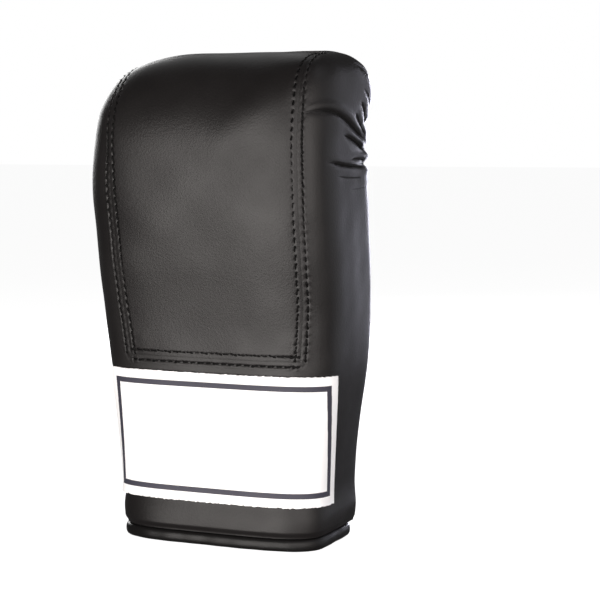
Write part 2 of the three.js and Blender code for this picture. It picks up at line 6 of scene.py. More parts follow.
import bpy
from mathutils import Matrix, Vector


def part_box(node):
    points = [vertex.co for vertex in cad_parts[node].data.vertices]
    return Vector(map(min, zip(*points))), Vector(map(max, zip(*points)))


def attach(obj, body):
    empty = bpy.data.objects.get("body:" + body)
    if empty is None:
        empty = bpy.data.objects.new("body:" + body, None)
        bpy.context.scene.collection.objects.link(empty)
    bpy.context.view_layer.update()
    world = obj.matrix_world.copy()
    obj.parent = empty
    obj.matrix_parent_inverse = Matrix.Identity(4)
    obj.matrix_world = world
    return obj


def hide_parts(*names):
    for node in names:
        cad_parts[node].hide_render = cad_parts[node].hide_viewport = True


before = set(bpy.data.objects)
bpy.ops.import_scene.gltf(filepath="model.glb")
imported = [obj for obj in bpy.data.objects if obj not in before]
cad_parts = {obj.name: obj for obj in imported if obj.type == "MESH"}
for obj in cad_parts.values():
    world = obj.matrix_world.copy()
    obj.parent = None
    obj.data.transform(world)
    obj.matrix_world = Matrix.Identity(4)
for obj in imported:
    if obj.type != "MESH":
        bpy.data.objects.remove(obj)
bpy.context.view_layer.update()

import logging
import math
from dataclasses import dataclass, field
from enum import Enum
from typing import Callable, NamedTuple, Sequence

import bmesh
import bpy
import numpy as np
from mathutils import Vector
from mathutils.geometry import delaunay_2d_cdt

LOG = logging.getLogger("bag_glove")
METRES = 0.001
BODY = "root"
# Crease lines on the surround: a distance to each, and a strength that sets the painted shade, dullness
# and bump groove that the leather draws along it.
CREASE_DISTANCE = "crease_distance"
CREASE_SHADE_AND_GROOVE = "crease_shade_and_groove"
NO_CREASE = (9.0, 0.0)
QUARTER_STEPS = 60

Values = float | np.ndarray


class Slot(Enum):
    """Material slots of the record."""

    LEATHER = "leather"
    BINDING = "binding"
    LINING = "lining"
    ELASTIC = "elastic"
    BADGE = "badge"


class Side(Enum):
    """Sides of the glove, seen from the back of the hand."""

    RIGHT = 1
    LEFT = -1


class Section(NamedTuple):
    """Level section of the cover, as shares of the fan's height, half width, half depth and pad."""

    height: float
    width: float
    front: float
    pad: float


class Crease(NamedTuple):
    """Crease over the end of the finger roll, from the back round the side towards the palm seam.

    Shares are of the profile and angles are degrees of the knuckle fan, where the crease begins,
    half way, and where it ends. Depth and width are millimetres.
    """

    first: float
    last: float
    begin: float
    middle: float
    end: float
    depth: float
    width: float


SECTIONS = (
    Section(0.00, 0.825, 0.84, 0.42),
    Section(0.05, 0.845, 0.85, 0.42),
    Section(0.09, 0.850, 0.83, 0.42),
    Section(0.16, 0.845, 0.81, 0.44),
    Section(0.30, 0.880, 0.83, 0.52),
    Section(0.50, 0.955, 0.90, 0.80),
    Section(0.70, 0.990, 0.96, 0.95),
    Section(0.88, 1.000, 1.00, 1.00),
    Section(1.00, 1.000, 1.00, 1.00),
)

CREASES = (
    Crease(0.60, 0.88, 41, 38, 31, 1.0, 0.7),
    Crease(0.66, 0.90, 33, 30, 26, 1.1, 0.7),
    Crease(0.68, 0.92, 29, 26, 21, 1.2, 0.7),
    Crease(0.70, 0.94, 25, 22, 16, 1.2, 0.7),
    Crease(0.36, 0.96, 29, 23, 14, 1.7, 0.7),
    Crease(0.68, 0.95, 16.5, 15, 10, 1.6, 0.7),
    Crease(0.76, 0.94, 6.5, 7.5, 6, 0.8, 0.6),
    Crease(0.55, 0.95, 6.0, 3, 3.5, 1.8, 0.7),
    Crease(0.62, 0.88, 0, -1.5, -1, 0.5, 1.3),
    Crease(0.74, 0.94, -6, -6, -5, 0.2, 1.3),
    Crease(0.52, 0.80, 52, 47, 42, 0.4, 1.3),
)
MM_PER_DEGREE = 1.25


def between(a: Values, b: Values, share: Values) -> Values:
    """Value a share of the way from a to b."""
    return a + (b - a) * share


def ease(low: float, high: float, value: Values) -> np.ndarray:
    """Smooth rise from 0 at low to 1 at high."""
    t = np.clip((np.asarray(value, float) - low) / (high - low), 0.0, 1.0)
    return t * t * (3 - 2 * t)


def hump(distance: Values, width: float) -> np.ndarray:
    """Bell of height 1 and a given half width."""
    return np.exp(-((np.asarray(distance, float) / width) ** 2))


def square_round(across: Values, up: Values, power: Values, angle: Values) -> np.ndarray:
    """Distance from the centre of a rounded rectangle to its edge, in a direction.

    Args:
        across: half size across.
        up: half size up.
        power: squareness, 2 for an ellipse.
        angle: the direction.

    Returns:
        The distance.
    """
    flat = np.abs(np.cos(angle)) / across
    tall = np.abs(np.sin(angle)) / up
    return (flat**power + tall**power) ** (-1 / power)


def quarter(across: float, up: float, power: float, steps: int = QUARTER_STEPS) -> np.ndarray:
    """Quarter of a rounded outline, from its end on the first axis to its end on the second.

    Args:
        across: reach along the first axis.
        up: reach along the second axis.
        power: squareness, 2 for an ellipse.
        steps: how many steps it has.

    Returns:
        The points.
    """
    angle = np.linspace(0, math.pi / 2, steps + 1)
    r = square_round(across, up, power, angle)
    return np.column_stack([r * np.cos(angle), r * np.sin(angle)])


def run_of(points: np.ndarray) -> np.ndarray:
    """Length along a polyline at each of its points."""
    steps = np.linalg.norm(np.diff(points, axis=0), axis=1)
    return np.concatenate([[0.0], np.cumsum(steps)])


def at_runs(points: np.ndarray, runs: np.ndarray) -> np.ndarray:
    """Points of a polyline at given lengths along it."""
    run = run_of(points)
    return np.column_stack([np.interp(runs, run, column) for column in points.T])


def evenly(points: np.ndarray, count: int) -> np.ndarray:
    """Points at even steps along a polyline."""
    return at_runs(points, np.linspace(0, run_of(points)[-1], count))


def smooth_column(places: np.ndarray, values: np.ndarray, at: Values) -> np.ndarray:
    """Cubic curve through a column of a table.

    Args:
        places: where the rows stand.
        values: the column's value on each row.
        at: where the curve is wanted.

    Returns:
        The curve's values.
    """
    at = np.clip(np.asarray(at, float), places[0], places[-1])
    i = np.clip(np.searchsorted(places, at, side="left") - 1, 0, len(places) - 2)
    after = np.minimum(np.arange(len(places)) + 1, len(places) - 1)
    before = np.maximum(np.arange(len(places)) - 1, 0)
    slopes = (values[after] - values[before]) / (places[after] - places[before])
    span = places[i + 1] - places[i]
    t = (at - places[i]) / span
    first = values[i] * (2 * t**3 - 3 * t**2 + 1) + span * slopes[i] * (t**3 - 2 * t**2 + t)
    second = values[i + 1] * (3 * t**2 - 2 * t**3) + span * slopes[i + 1] * (t**3 - t**2)
    return first + second


def bezier(points: Sequence[tuple[float, float]], count: int) -> np.ndarray:
    """Points of a cubic curve from four control points.

    Args:
        points: the four control points.
        count: how many steps it has.

    Returns:
        The points.
    """
    t = np.linspace(0, 1, count + 1)[:, None]
    a, b, c, d = (np.array(p, float) for p in points)
    return a * (1 - t) ** 3 + 3 * b * t * (1 - t) ** 2 + 3 * c * t**2 * (1 - t) + d * t**3


def inside(outline: np.ndarray, points: np.ndarray) -> np.ndarray:
    """Which points lie inside a closed outline.

    Args:
        outline: the outline's points.
        points: the points to test.

    Returns:
        True for each point that is inside.
    """
    result = np.zeros(len(points), bool)
    for (ax, ay), (bx, by) in zip(outline, np.roll(outline, -1, axis=0)):
        crosses = (ay > points[:, 1]) != (by > points[:, 1])
        with np.errstate(divide="ignore", invalid="ignore"):
            meets = ax + (points[:, 1] - ay) * (bx - ax) / (by - ay)
        result ^= crosses & (points[:, 0] < meets)
    return result


def distance_to(line: np.ndarray, points: np.ndarray) -> np.ndarray:
    """Distance of points to an open polyline in the plane.

    Args:
        line: the polyline.
        points: the points to measure from.

    Returns:
        A distance for each point.
    """
    best = np.full(len(points), np.inf)
    for a, b in zip(line[:-1], line[1:]):
        along = b - a
        size = float(along @ along)
        if size > 0:
            t = np.clip(((points - a) @ along) / size, 0, 1)
            best = np.minimum(best, np.linalg.norm(points - a - t[:, None] * along, axis=1))
    return best


def both_sides(right: np.ndarray) -> np.ndarray:
    """A line over both sides of the glove, from its right half that ends in the middle."""
    mirror = np.where(np.arange(right.shape[1]) == 0, -1, 1)
    return np.concatenate([right, (right[:-1] * mirror)[::-1]])


def right_of(line: np.ndarray) -> np.ndarray:
    """Unit directions to the right of a line, in the plane of its first two columns.

    Args:
        line: the points of the line.

    Returns:
        A direction for each point.
    """
    step = np.gradient(line[:, :2], axis=0)
    beside = np.column_stack([step[:, 1], -step[:, 0]])
    return beside / np.linalg.norm(beside, axis=1, keepdims=True)


@dataclass(frozen=True)
class Station:
    """Ray of the cover, level on a side or out of the centre of the knuckle fan."""

    side: int
    degrees: float
    base_z: float
    turn: float
    outline: float
    bulge: float
    seam: float
    front: float
    pad: float
    widest: float
    bulge_y: float
    corner: float

    def place(self, out: Values, y: Values) -> np.ndarray:
        """Points at distances out along the ray, at given depths.

        Args:
            out: distance out along the ray.
            y: depth.

        Returns:
            The points.
        """
        out = np.asarray(out, float)
        x = self.side * out * math.cos(self.turn)
        z = self.base_z + out * math.sin(self.turn)
        return np.stack([x, np.broadcast_to(y, out.shape), z], axis=-1)


@dataclass(frozen=True)
class GloveForm:
    """Main form of the glove, the same that the frame's solids have."""

    length: float = 269.0
    hand_width: float = 146.0
    roll_depth: float = 90.0
    crest_rise: float = 66.0
    hand_lean: float = 12.0
    lean_from: float = 105.0
    lean_height: float = 120.0
    sewn_gap: float = 0.3
    knuckle_pad: float = 24.0
    widest_y: float = -5.0
    palm_face: float = 26.0
    seam_inset: float = 5.0
    side_lip: float = 1.2
    seam_rise: float = 30.0
    landing: float = 2.5
    leather: float = 2.0
    cuff_crown: float = 5.0
    panel_right: float = 58.5
    panel_left: float = 51.5
    panel_foot: float = 104.0
    cover_foot: float = 7.3
    hem_height: float = 7.0
    slit_rise: float = 18.0
    slit_width: float = 3.2
    band_foot: float = 26.0
    band_width: float = 48.0
    band_thickness: float = 1.6
    opening_foot: float = 86.0
    opening_top: float = 179.0
    opening_half: float = 56.0
    slit_notch: float = 20.0
    knuckle_corner_right: float = 7.0
    knuckle_corner_left: float = 3.1
    seam_corner: float = 5.0
    section_corner: float = 4.0
    crest_corner: float = 2.7
    roll_corner: float = 2.4
    hollow_corner: float = 5.0
    bulge_place: float = 0.55

    @property
    def fan_height(self) -> float:
        """Height of the centre of the knuckle fan."""
        return self.length - self.crest_rise

    @property
    def shift_y(self) -> float:
        """How far the frame stands from this form's own origin, read off the elastic band."""
        band_face = self.palm_face + self.cuff_crown + self.sewn_gap + self.band_thickness
        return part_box("wrist_band")[1].y / METRES - band_face

    def section(self, z: Values) -> tuple[np.ndarray, np.ndarray, np.ndarray]:
        """Half width, front depth and padding of the level section at a height.

        Args:
            z: height.

        Returns:
            The half width, the front depth and the padding.
        """
        table = np.array(SECTIONS)
        share = np.asarray(z, float) / self.fan_height
        half = self.hand_width / 2 * smooth_column(table[:, 0], table[:, 1], share)
        front = -self.roll_depth / 2 * smooth_column(table[:, 0], table[:, 2], share)
        pad = self.knuckle_pad * smooth_column(table[:, 0], table[:, 3], share)
        return half, front, pad

    def squareness(self, x: Values) -> np.ndarray:
        """Squareness of the knuckle corner on the side where x is."""
        return np.where(np.asarray(x) >= 0, self.knuckle_corner_right, self.knuckle_corner_left)

    def fan(self, angle: Values, squareness: Values) -> tuple[np.ndarray, np.ndarray, np.ndarray]:
        """Outline, palm seam and fullness of the roll along rays of the fan.

        Args:
            angle: angle of the ray.
            squareness: squareness of the knuckle corner.

        Returns:
            Distances out to the outline and to the seam, and the fullness from 0 to 1.
        """
        half = self.hand_width / 2
        outline = square_round(half, self.crest_rise, squareness, angle)
        seam = square_round(half - self.seam_inset, self.seam_rise, self.seam_corner, angle)
        full = self.crest_rise - self.seam_rise
        return outline, seam, ease(self.seam_inset, full, outline - seam) ** 0.8

    def station(self, x: float, z: float) -> Station:
        """Station whose ray passes through a place on the glove.

        Args:
            x: distance across, which also tells the side.
            z: height.

        Returns:
            The station.
        """
        side = 1 if x >= 0 else -1
        half, front, pad = (float(v) for v in self.section(min(z, self.fan_height)))
        lip_y = self.palm_face + self.side_lip
        if z <= self.fan_height:
            seam = half - self.seam_inset
            degrees = math.degrees((z - self.fan_height) / half)
            return Station(side, degrees, z, 0.0, half, between(seam, half, self.bulge_place), seam,
                           front, pad, self.widest_y, lip_y, self.section_corner)
        angle = math.atan2(z - self.fan_height, abs(x))
        outline, seam, roll = (float(v) for v in self.fan(angle, float(self.squareness(x))))
        degrees = math.degrees(angle)
        return Station(side, degrees, self.fan_height, angle, outline,
                       between(seam, outline, self.bulge_place), seam, front, pad,
                       between(self.widest_y, 0, roll), between(lip_y, self.roll_depth / 2, roll),
                       between(self.section_corner, self.crest_corner, float(ease(0, 70, degrees))))

    def outer_profile(self, station: Station) -> np.ndarray:
        """Outer face along a station, from the middle of the back to the palm seam.

        Args:
            station: the station.

        Returns:
            Distances out and depths.
        """
        s = station
        seam_y = self.palm_face + self.side_lip / 2
        back = quarter(s.outline, s.widest - s.front, s.corner)[::-1]
        outer = quarter(s.outline - s.bulge, s.bulge_y - s.widest, self.roll_corner)[1:]
        inner = quarter(s.bulge - s.seam, s.bulge_y - seam_y, 2.0)[::-1][1:]
        return np.concatenate([
            np.column_stack([back[:, 0], s.widest - back[:, 1]]),
            np.column_stack([s.bulge + outer[:, 0], s.widest + outer[:, 1]]),
            np.column_stack([s.bulge - inner[:, 0], seam_y + inner[:, 1]]),
        ])

    def hollow_ring(self, station: Station, steps: int) -> np.ndarray:
        """Inner face along a station, from the palm seam's ledge to the middle of the back.

        Args:
            station: the station.
            steps: how many steps the hollow has.

        Returns:
            The points.
        """
        ledge = self.palm_face - self.leather - self.sewn_gap
        hollow = station.seam - self.landing
        arc = quarter(hollow, ledge - station.front - station.pad, self.hollow_corner, steps)
        ledges = [[station.seam, self.palm_face + self.side_lip / 2], [station.seam, ledge]]
        ring = np.concatenate([ledges, np.column_stack([arc[:, 0], ledge - arc[:, 1]])])
        ring[-1, 0] = 0.0
        return station.place(ring[:, 0], ring[:, 1])

    def back_face(self, x: Values, z: Values) -> np.ndarray:
        """Depth of the outer face on the back of the hand, at places seen from the front.

        Args:
            x: distance across.
            z: height.

        Returns:
            The depth.
        """
        x, z = np.broadcast_arrays(np.asarray(x, float), np.asarray(z, float))
        half, front, _ = self.section(np.minimum(z, self.fan_height))
        rise = np.maximum(z - self.fan_height, 0.0)
        angle = np.arctan2(rise, np.abs(x))
        outline, _, roll = self.fan(angle, self.squareness(x))
        share = np.where(rise > 0, np.hypot(x, rise) / outline, np.abs(x) / half)
        widest = np.where(rise > 0, between(self.widest_y, 0, roll), self.widest_y)
        corner = between(self.section_corner, self.crest_corner, ease(0, 70, np.degrees(angle)))
        full = (1 - np.clip(share, 0, 1) ** corner) ** (1 / corner)
        return widest - (widest - front) * full

    def crest_z(self, x: Values) -> np.ndarray:
        """Height of the crest at a distance across.

        Args:
            x: distance across.

        Returns:
            The height.
        """
        power = self.squareness(x)
        share = np.abs(x) / (self.hand_width / 2)
        return self.fan_height + self.crest_rise * (1 - share**power) ** (1 / power)

    def panel_edge(self, z: Values, x: Values) -> np.ndarray:
        """Distance of the back panel's edge from the middle at a height, on the side where x is.

        Args:
            z: height.
            x: any place on the side that is meant.

        Returns:
            The distance.
        """
        foot, fan = self.panel_foot, self.fan_height
        heights = [foot, between(foot, fan, 0.3), between(foot, fan, 0.65), fan]
        reach = np.where(np.asarray(x) >= 0, self.panel_right, self.panel_left)
        return reach * np.interp(z, heights, [0.925, 0.975, 0.99, 1.0])

    def palm_y(self, x: Values, z: Values) -> np.ndarray:
        """Depth of the palm leather's outer face.

        Args:
            x: distance across.
            z: height.

        Returns:
            The depth.
        """
        half, _, _ = self.section(np.clip(z, 0, self.fan_height))
        across = np.asarray(x) / (half - self.seam_inset)
        top = self.band_foot + self.band_width
        crown = self.cuff_crown * (1 - ease(top, self.opening_top, z))
        return self.palm_face + crown * (1 - across**2)

    def foot_height(self, x: Values) -> np.ndarray:
        """Height of the palm leather's lower edge.

        Args:
            x: distance across.

        Returns:
            The height.
        """
        seam = self.station(1.0, self.cover_foot).seam
        inwards = np.maximum(0, 1 - np.abs(x) / seam)
        return self.hem_height + self.slit_rise * inwards**2.2

    def cuff_line(self, z: float) -> np.ndarray:
        """The cuff's outer face at a height, from the middle of the back to its widest line.

        Args:
            z: height.

        Returns:
            Distances across and depths.
        """
        half, front, _ = (float(v) for v in self.section(z))
        fine = quarter(half, self.widest_y - front, self.section_corner)[::-1]
        return np.column_stack([fine[:, 0], self.widest_y - fine[:, 1]])

    def off_cuff(self, z: float, along: np.ndarray, off: float) -> np.ndarray:
        """Points off the cuff's outer face, at distances along it from the middle of the back.

        Args:
            z: their height.
            along: distances along the face, less than 0 on the left.
            off: how far off the face.

        Returns:
            The points.
        """
        line = self.cuff_line(z)
        runs = np.abs(along)
        flat = at_runs(line, runs)
        ahead = at_runs(line, runs + 0.05) - at_runs(line, runs - 0.05)
        ahead /= np.linalg.norm(ahead, axis=1, keepdims=True)
        x = flat[:, 0] + off * ahead[:, 1]
        y = flat[:, 1] - off * ahead[:, 0]
        return np.column_stack([np.sign(along + 1e-12) * x, y, np.full(len(along), z)])

    def in_frame(self, points: np.ndarray) -> np.ndarray:
        """Points of the upright form, leant over and moved into the frame, in metres.

        Args:
            points: points in millimetres.

        Returns:
            The points in the frame.
        """
        lean = self.hand_lean * ease(self.lean_from, self.lean_from + self.lean_height, points[..., 2])
        moved = np.array(points, float)
        moved[..., 1] += self.shift_y - lean
        return moved * METRES


FORM = GloveForm()


def unevenness(points: np.ndarray) -> np.ndarray:
    """Soft unevenness of leather over foam, in millimetres, at places on the glove.

    Args:
        points: places on the glove.

    Returns:
        A height for each place.
    """
    draw = np.random.default_rng(7)
    total = np.zeros(points.shape[:-1])
    for wavelength in np.geomspace(16, 75, 12):
        direction = draw.normal(size=3)
        direction /= np.linalg.norm(direction)
        phase = draw.uniform(0, 2 * math.pi)
        total += 0.0017 * wavelength * np.sin(points @ direction * 2 * math.pi / wavelength + phase)
    return total


def outward(grid: np.ndarray) -> np.ndarray:
    """Unit normals of a grid of points whose rows rise and whose columns go outwards.

    Args:
        grid: the grid.

    Returns:
        A normal for each point.
    """
    across = np.gradient(grid, axis=1)
    up = np.gradient(grid, axis=0)
    normal = np.cross(across, up)
    size = np.linalg.norm(normal, axis=-1, keepdims=True)
    return normal / np.maximum(size, 1e-9)


def pressed(grid: np.ndarray, depth: np.ndarray) -> np.ndarray:
    """A grid of points pressed inwards by a depth in millimetres."""
    return grid - outward(grid) * depth[..., None]


class Patchwork:
    """Points and faces of one mesh, gathered grid by grid."""

    def __init__(self) -> None:
        """Starts empty."""
        self.points: list[np.ndarray] = []
        self.creases: list[np.ndarray] = []
        self.faces: list[tuple[int, ...]] = []
        self.marks: list[int] = []
        self.count = 0

    def add_points(self, points: np.ndarray, crease: np.ndarray | None = None) -> np.ndarray:
        """Adds points.

        Args:
            points: the points, in any layout.
            crease: each one's distance from the nearest crease, and that crease's strength.

        Returns:
            Their numbers, in the same layout.
        """
        flat = points.reshape(-1, 3)
        numbers = np.arange(self.count, self.count + len(flat)).reshape(points.shape[:-1])
        self.points.append(flat)
        self.creases.append(np.tile(NO_CREASE, (len(flat), 1)) if crease is None
                            else crease.reshape(-1, 2))
        self.count += len(flat)
        return numbers

    def add_grid(self, grid: np.ndarray, mark: int = 0, round_too: bool = False,
                 crease: np.ndarray | None = None) -> None:
        """Adds a grid of points as quads.

        Args:
            grid: rows of points.
            mark: material index of its faces.
            round_too: whether the last column joins the first.
            crease: each point's distance from the nearest crease, and that crease's strength.
        """
        numbers = self.add_points(grid, crease)
        if round_too:
            numbers = np.concatenate([numbers, numbers[:, :1]], axis=1)
        a, b = numbers[:-1, :-1].ravel(), numbers[:-1, 1:].ravel()
        c, d = numbers[1:, 1:].ravel(), numbers[1:, :-1].ravel()
        self.faces.extend(zip(a.tolist(), b.tolist(), c.tolist(), d.tolist()))
        self.marks.extend([mark] * len(a))

    def add_face(self, loop: np.ndarray, mark: int = 0) -> None:
        """Adds one face round a loop of points."""
        self.faces.append(tuple(self.add_points(loop).tolist()))
        self.marks.append(mark)

    def add_tube(self, rings: np.ndarray) -> None:
        """Adds a tube and closes its ends.

        Args:
            rings: rings of points, one after another along the tube.
        """
        self.add_grid(rings, round_too=True)
        self.add_face(rings[0])
        self.add_face(rings[-1])

    def build(self, name: str, merge: float = 0.01) -> bpy.types.Object:
        """Makes the object, with meeting points merged and faces pointing outwards.

        Args:
            name: the object's name.
            merge: how close points are that become one, in millimetres.

        Returns:
            The new object.
        """
        mesh = bpy.data.meshes.new(name)
        places = FORM.in_frame(np.concatenate(self.points))
        mesh.from_pydata(places.tolist(), [], self.faces)
        mesh.polygons.foreach_set("material_index", self.marks)
        creases = np.concatenate(self.creases)
        # The crease attributes that the leather reads to draw painted shade along the creases.
        if creases[:, 1].any():
            for field_name, values in zip((CREASE_DISTANCE, CREASE_SHADE_AND_GROOVE), creases.T):
                mesh.attributes.new(field_name, "FLOAT", "POINT").data.foreach_set("value", values.copy())
        work = bmesh.new()
        work.from_mesh(mesh)
        bmesh.ops.remove_doubles(work, verts=work.verts, dist=merge * METRES)
        bmesh.ops.dissolve_degenerate(work, edges=work.edges, dist=1e-7)
        bmesh.ops.recalc_face_normals(work, faces=work.faces)
        open_edges = sum(edge.is_boundary for edge in work.edges)
        work.to_mesh(mesh)
        work.free()
        obj = bpy.data.objects.new(name, mesh)
        bpy.context.scene.collection.objects.link(obj)
        LOG.info("%s: %d faces, %d open edges", name, len(mesh.polygons), open_edges)
        return obj


def select_only(obj: bpy.types.Object) -> None:
    """Makes an object the only one that operators act on.

    Args:
        obj: the object.
    """
    bpy.ops.object.select_all(action="DESELECT")
    obj.select_set(True)
    bpy.context.view_layer.objects.active = obj


def smooth(obj: bpy.types.Object, degrees: float = 40.0) -> None:
    """Smooth shading, with edges sharper than an angle kept."""
    select_only(obj)
    bpy.ops.object.shade_smooth_by_angle(angle=math.radians(degrees))


def thicken(obj: bpy.types.Object, thickness: float, offset: float) -> None:
    """Gives a sheet its thickness in millimetres.

    Args:
        obj: the sheet.
        thickness: its thickness.
        offset: -1 to grow behind the face.
    """
    select_only(obj)
    modifier = obj.modifiers.new("thickness", "SOLIDIFY")
    modifier.thickness = thickness * METRES
    modifier.offset = offset
    modifier.use_even_offset = False
    bpy.ops.object.modifier_apply(modifier=modifier.name)


def finish_piece(obj: bpy.types.Object, materials: Sequence[bpy.types.Material],
                 nodes: Sequence[str]) -> None:
    """Dresses a piece and ties it to the frame.

    Args:
        obj: the piece.
        materials: its materials, in the order of its faces' material indices.
        nodes: the frame's nodes that it stands for.
    """
    for material in materials:
        obj.data.materials.append(material)
    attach(obj, BODY)
    if nodes:
        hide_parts(*nodes)
    LOG.info("%s is done", obj.name)


def linear(hex_colour: str) -> tuple[float, float, float, float]:
    """Linear colour of an sRGB hex value.

    Args:
        hex_colour: the colour, such as #181616.

    Returns:
        Red, green, blue and alpha.
    """
    parts = [int(hex_colour[i:i + 2], 16) / 255 for i in (1, 3, 5)]
    values = [p / 12.92 if p <= 0.04045 else ((p + 0.055) / 1.055) ** 2.4 for p in parts]
    return values[0], values[1], values[2], 1.0


def per_mm(size: float) -> float:
    """Texture scale, on metres, whose features are a size in millimetres."""
    return 1.0 / (size * METRES)


def add_node(tree: bpy.types.NodeTree, kind: str, inputs: dict | None = None,
             **settings: object) -> bpy.types.Node:
    """Adds one node with its settings, values and links.

    Args:
        tree: the material's node tree.
        kind: the node's type.
        inputs: values or output sockets for its inputs, by name or number.
        settings: its own properties.

    Returns:
        The node.
    """
    node = tree.nodes.new(kind)
    for name, value in settings.items():
        setattr(node, name, value)
    for name, value in (inputs or {}).items():
        if isinstance(value, bpy.types.NodeSocket):
            tree.links.new(value, node.inputs[name])
        else:
            node.inputs[name].default_value = value
    return node


@dataclass(frozen=True)
class Finish:
    """What the finishes share: colour, gloss and sheen."""

    name: str
    colour: str
    roughness: float
    specular: float = 0.5
    sheen: float = 0.0

    def start(self) -> tuple[bpy.types.Material, bpy.types.NodeTree, bpy.types.Node, bpy.types.Node]:
        """Makes the material with its shader and its coordinates.

        Returns:
            The material, its node tree, its shader and its coordinates.
        """
        material = bpy.data.materials.new(self.name)
        material.use_nodes = True
        tree = material.node_tree
        tree.nodes.clear()
        shader = add_node(tree, "ShaderNodeBsdfPrincipled", {
            "Base Color": linear(self.colour), "Roughness": self.roughness,
            "Specular IOR Level": self.specular, "Sheen Weight": self.sheen,
        })
        add_node(tree, "ShaderNodeOutputMaterial", {"Surface": shader.outputs[0]})
        coordinates = add_node(tree, "ShaderNodeTexCoord")
        material.diffuse_color = linear(self.colour)
        return material, tree, shader, coordinates


@dataclass(frozen=True)
class SplitLeather(Finish):
    """Pigmented split leather: a fine pebbled grain under a satin coat, duller in its hollows, where the
    crease lines also carry painted shade.
    """

    worn: str = "#1a1818"
    painted_crease_shade_colour: str = "#020101"
    crease_width: float = 1.3
    crease_depth: float = 0.25
    grain: float = 0.9
    grain_depth: float = 0.055

    def make(self) -> bpy.types.Material:
        """Makes the material.

        Returns:
            The material.
        """
        material, tree, shader, coordinates = self.start()
        place = coordinates.outputs["Object"]
        cloud = add_node(tree, "ShaderNodeTexNoise", {
            "Vector": place, "Scale": per_mm(38), "Detail": 4.0, "Roughness": 0.55})
        tone = add_node(tree, "ShaderNodeMixRGB", {
            "Fac": cloud.outputs["Fac"], "Color1": linear(self.colour), "Color2": linear(self.worn)})
        beside = add_node(tree, "ShaderNodeAttribute", attribute_name=CREASE_DISTANCE)
        strength = add_node(tree, "ShaderNodeAttribute", attribute_name=CREASE_SHADE_AND_GROOVE)
        off = add_node(tree, "ShaderNodeMath", {0: beside.outputs["Fac"]}, operation="ABSOLUTE")
        line = add_node(tree, "ShaderNodeMapRange", {
            "Value": off.outputs[0], "From Min": 0.1, "From Max": self.crease_width / 2,
            "To Min": 1.0, "To Max": 0.0}, interpolation_type="SMOOTHSTEP")
        crease = add_node(tree, "ShaderNodeMath", {
            0: line.outputs["Result"], 1: strength.outputs["Fac"]}, operation="MULTIPLY").outputs[0]
        # Painted shade: along each crease line the base colour is mixed towards near black, a dark line
        # drawn into the colour under any light.
        deep = add_node(tree, "ShaderNodeMixRGB", {
            "Fac": crease, "Color1": tone.outputs[0], "Color2": linear(self.painted_crease_shade_colour)})
        tree.links.new(deep.outputs[0], shader.inputs["Base Color"])
        dull = add_node(tree, "ShaderNodeMapRange", {
            "Value": cloud.outputs["Fac"], "From Min": 0.3, "From Max": 0.7,
            "To Min": self.roughness - 0.05, "To Max": self.roughness + 0.06})
        matt = add_node(tree, "ShaderNodeMath", {0: crease, 1: 0.5, 2: dull.outputs["Result"]},
                        operation="MULTIPLY_ADD", use_clamp=True)
        tree.links.new(matt.outputs[0], shader.inputs["Roughness"])
        pebble = add_node(tree, "ShaderNodeTexVoronoi", {
            "Vector": place, "Scale": per_mm(self.grain), "Randomness": 1.0},
            feature="SMOOTH_F1")
        pore = add_node(tree, "ShaderNodeTexNoise", {
            "Vector": place, "Scale": per_mm(self.grain * 3), "Detail": 5.0, "Roughness": 0.65})
        grain = add_node(tree, "ShaderNodeMath", {
            0: pebble.outputs["Distance"], 1: pore.outputs["Fac"]}, operation="ADD")
        cut = add_node(tree, "ShaderNodeMath", {
            0: crease, 1: -self.crease_depth / self.grain_depth, 2: grain.outputs[0]},
            operation="MULTIPLY_ADD")
        bump = add_node(tree, "ShaderNodeBump", {
            "Height": cut.outputs[0], "Strength": 0.5, "Distance": self.grain_depth * METRES * 2})
        tree.links.new(bump.outputs["Normal"], shader.inputs["Normal"])
        return material


@dataclass(frozen=True)
class WovenElastic(Finish):
    """Black woven elastic: matt ribs of covered rubber along the band, crossed by fine thread."""

    rib: float = 1.5
    thread: float = 0.7

    def make(self) -> bpy.types.Material:
        """Makes the material.

        Returns:
            The material.
        """
        material, tree, shader, coordinates = self.start()
        place = coordinates.outputs["Object"]
        ribs = add_node(tree, "ShaderNodeTexWave", {
            "Vector": place, "Scale": per_mm(self.rib) / 20, "Distortion": 0.3, "Detail": 1.0},
            wave_type="BANDS", bands_direction="Z")
        threads = add_node(tree, "ShaderNodeTexWave", {
            "Vector": place, "Scale": per_mm(self.thread) / 20, "Distortion": 0.4, "Detail": 1.0},
            wave_type="BANDS", bands_direction="X")
        cloth = add_node(tree, "ShaderNodeMath", {
            0: ribs.outputs["Fac"], 1: threads.outputs["Fac"]}, operation="ADD")
        tone = add_node(tree, "ShaderNodeMixRGB", {
            "Fac": ribs.outputs["Fac"], "Color1": linear("#060606"), "Color2": linear(self.colour)})
        tree.links.new(tone.outputs[0], shader.inputs["Base Color"])
        bump = add_node(tree, "ShaderNodeBump", {
            "Height": cloth.outputs[0], "Strength": 0.7, "Distance": 0.12 * METRES})
        tree.links.new(bump.outputs["Normal"], shader.inputs["Normal"])
        return material


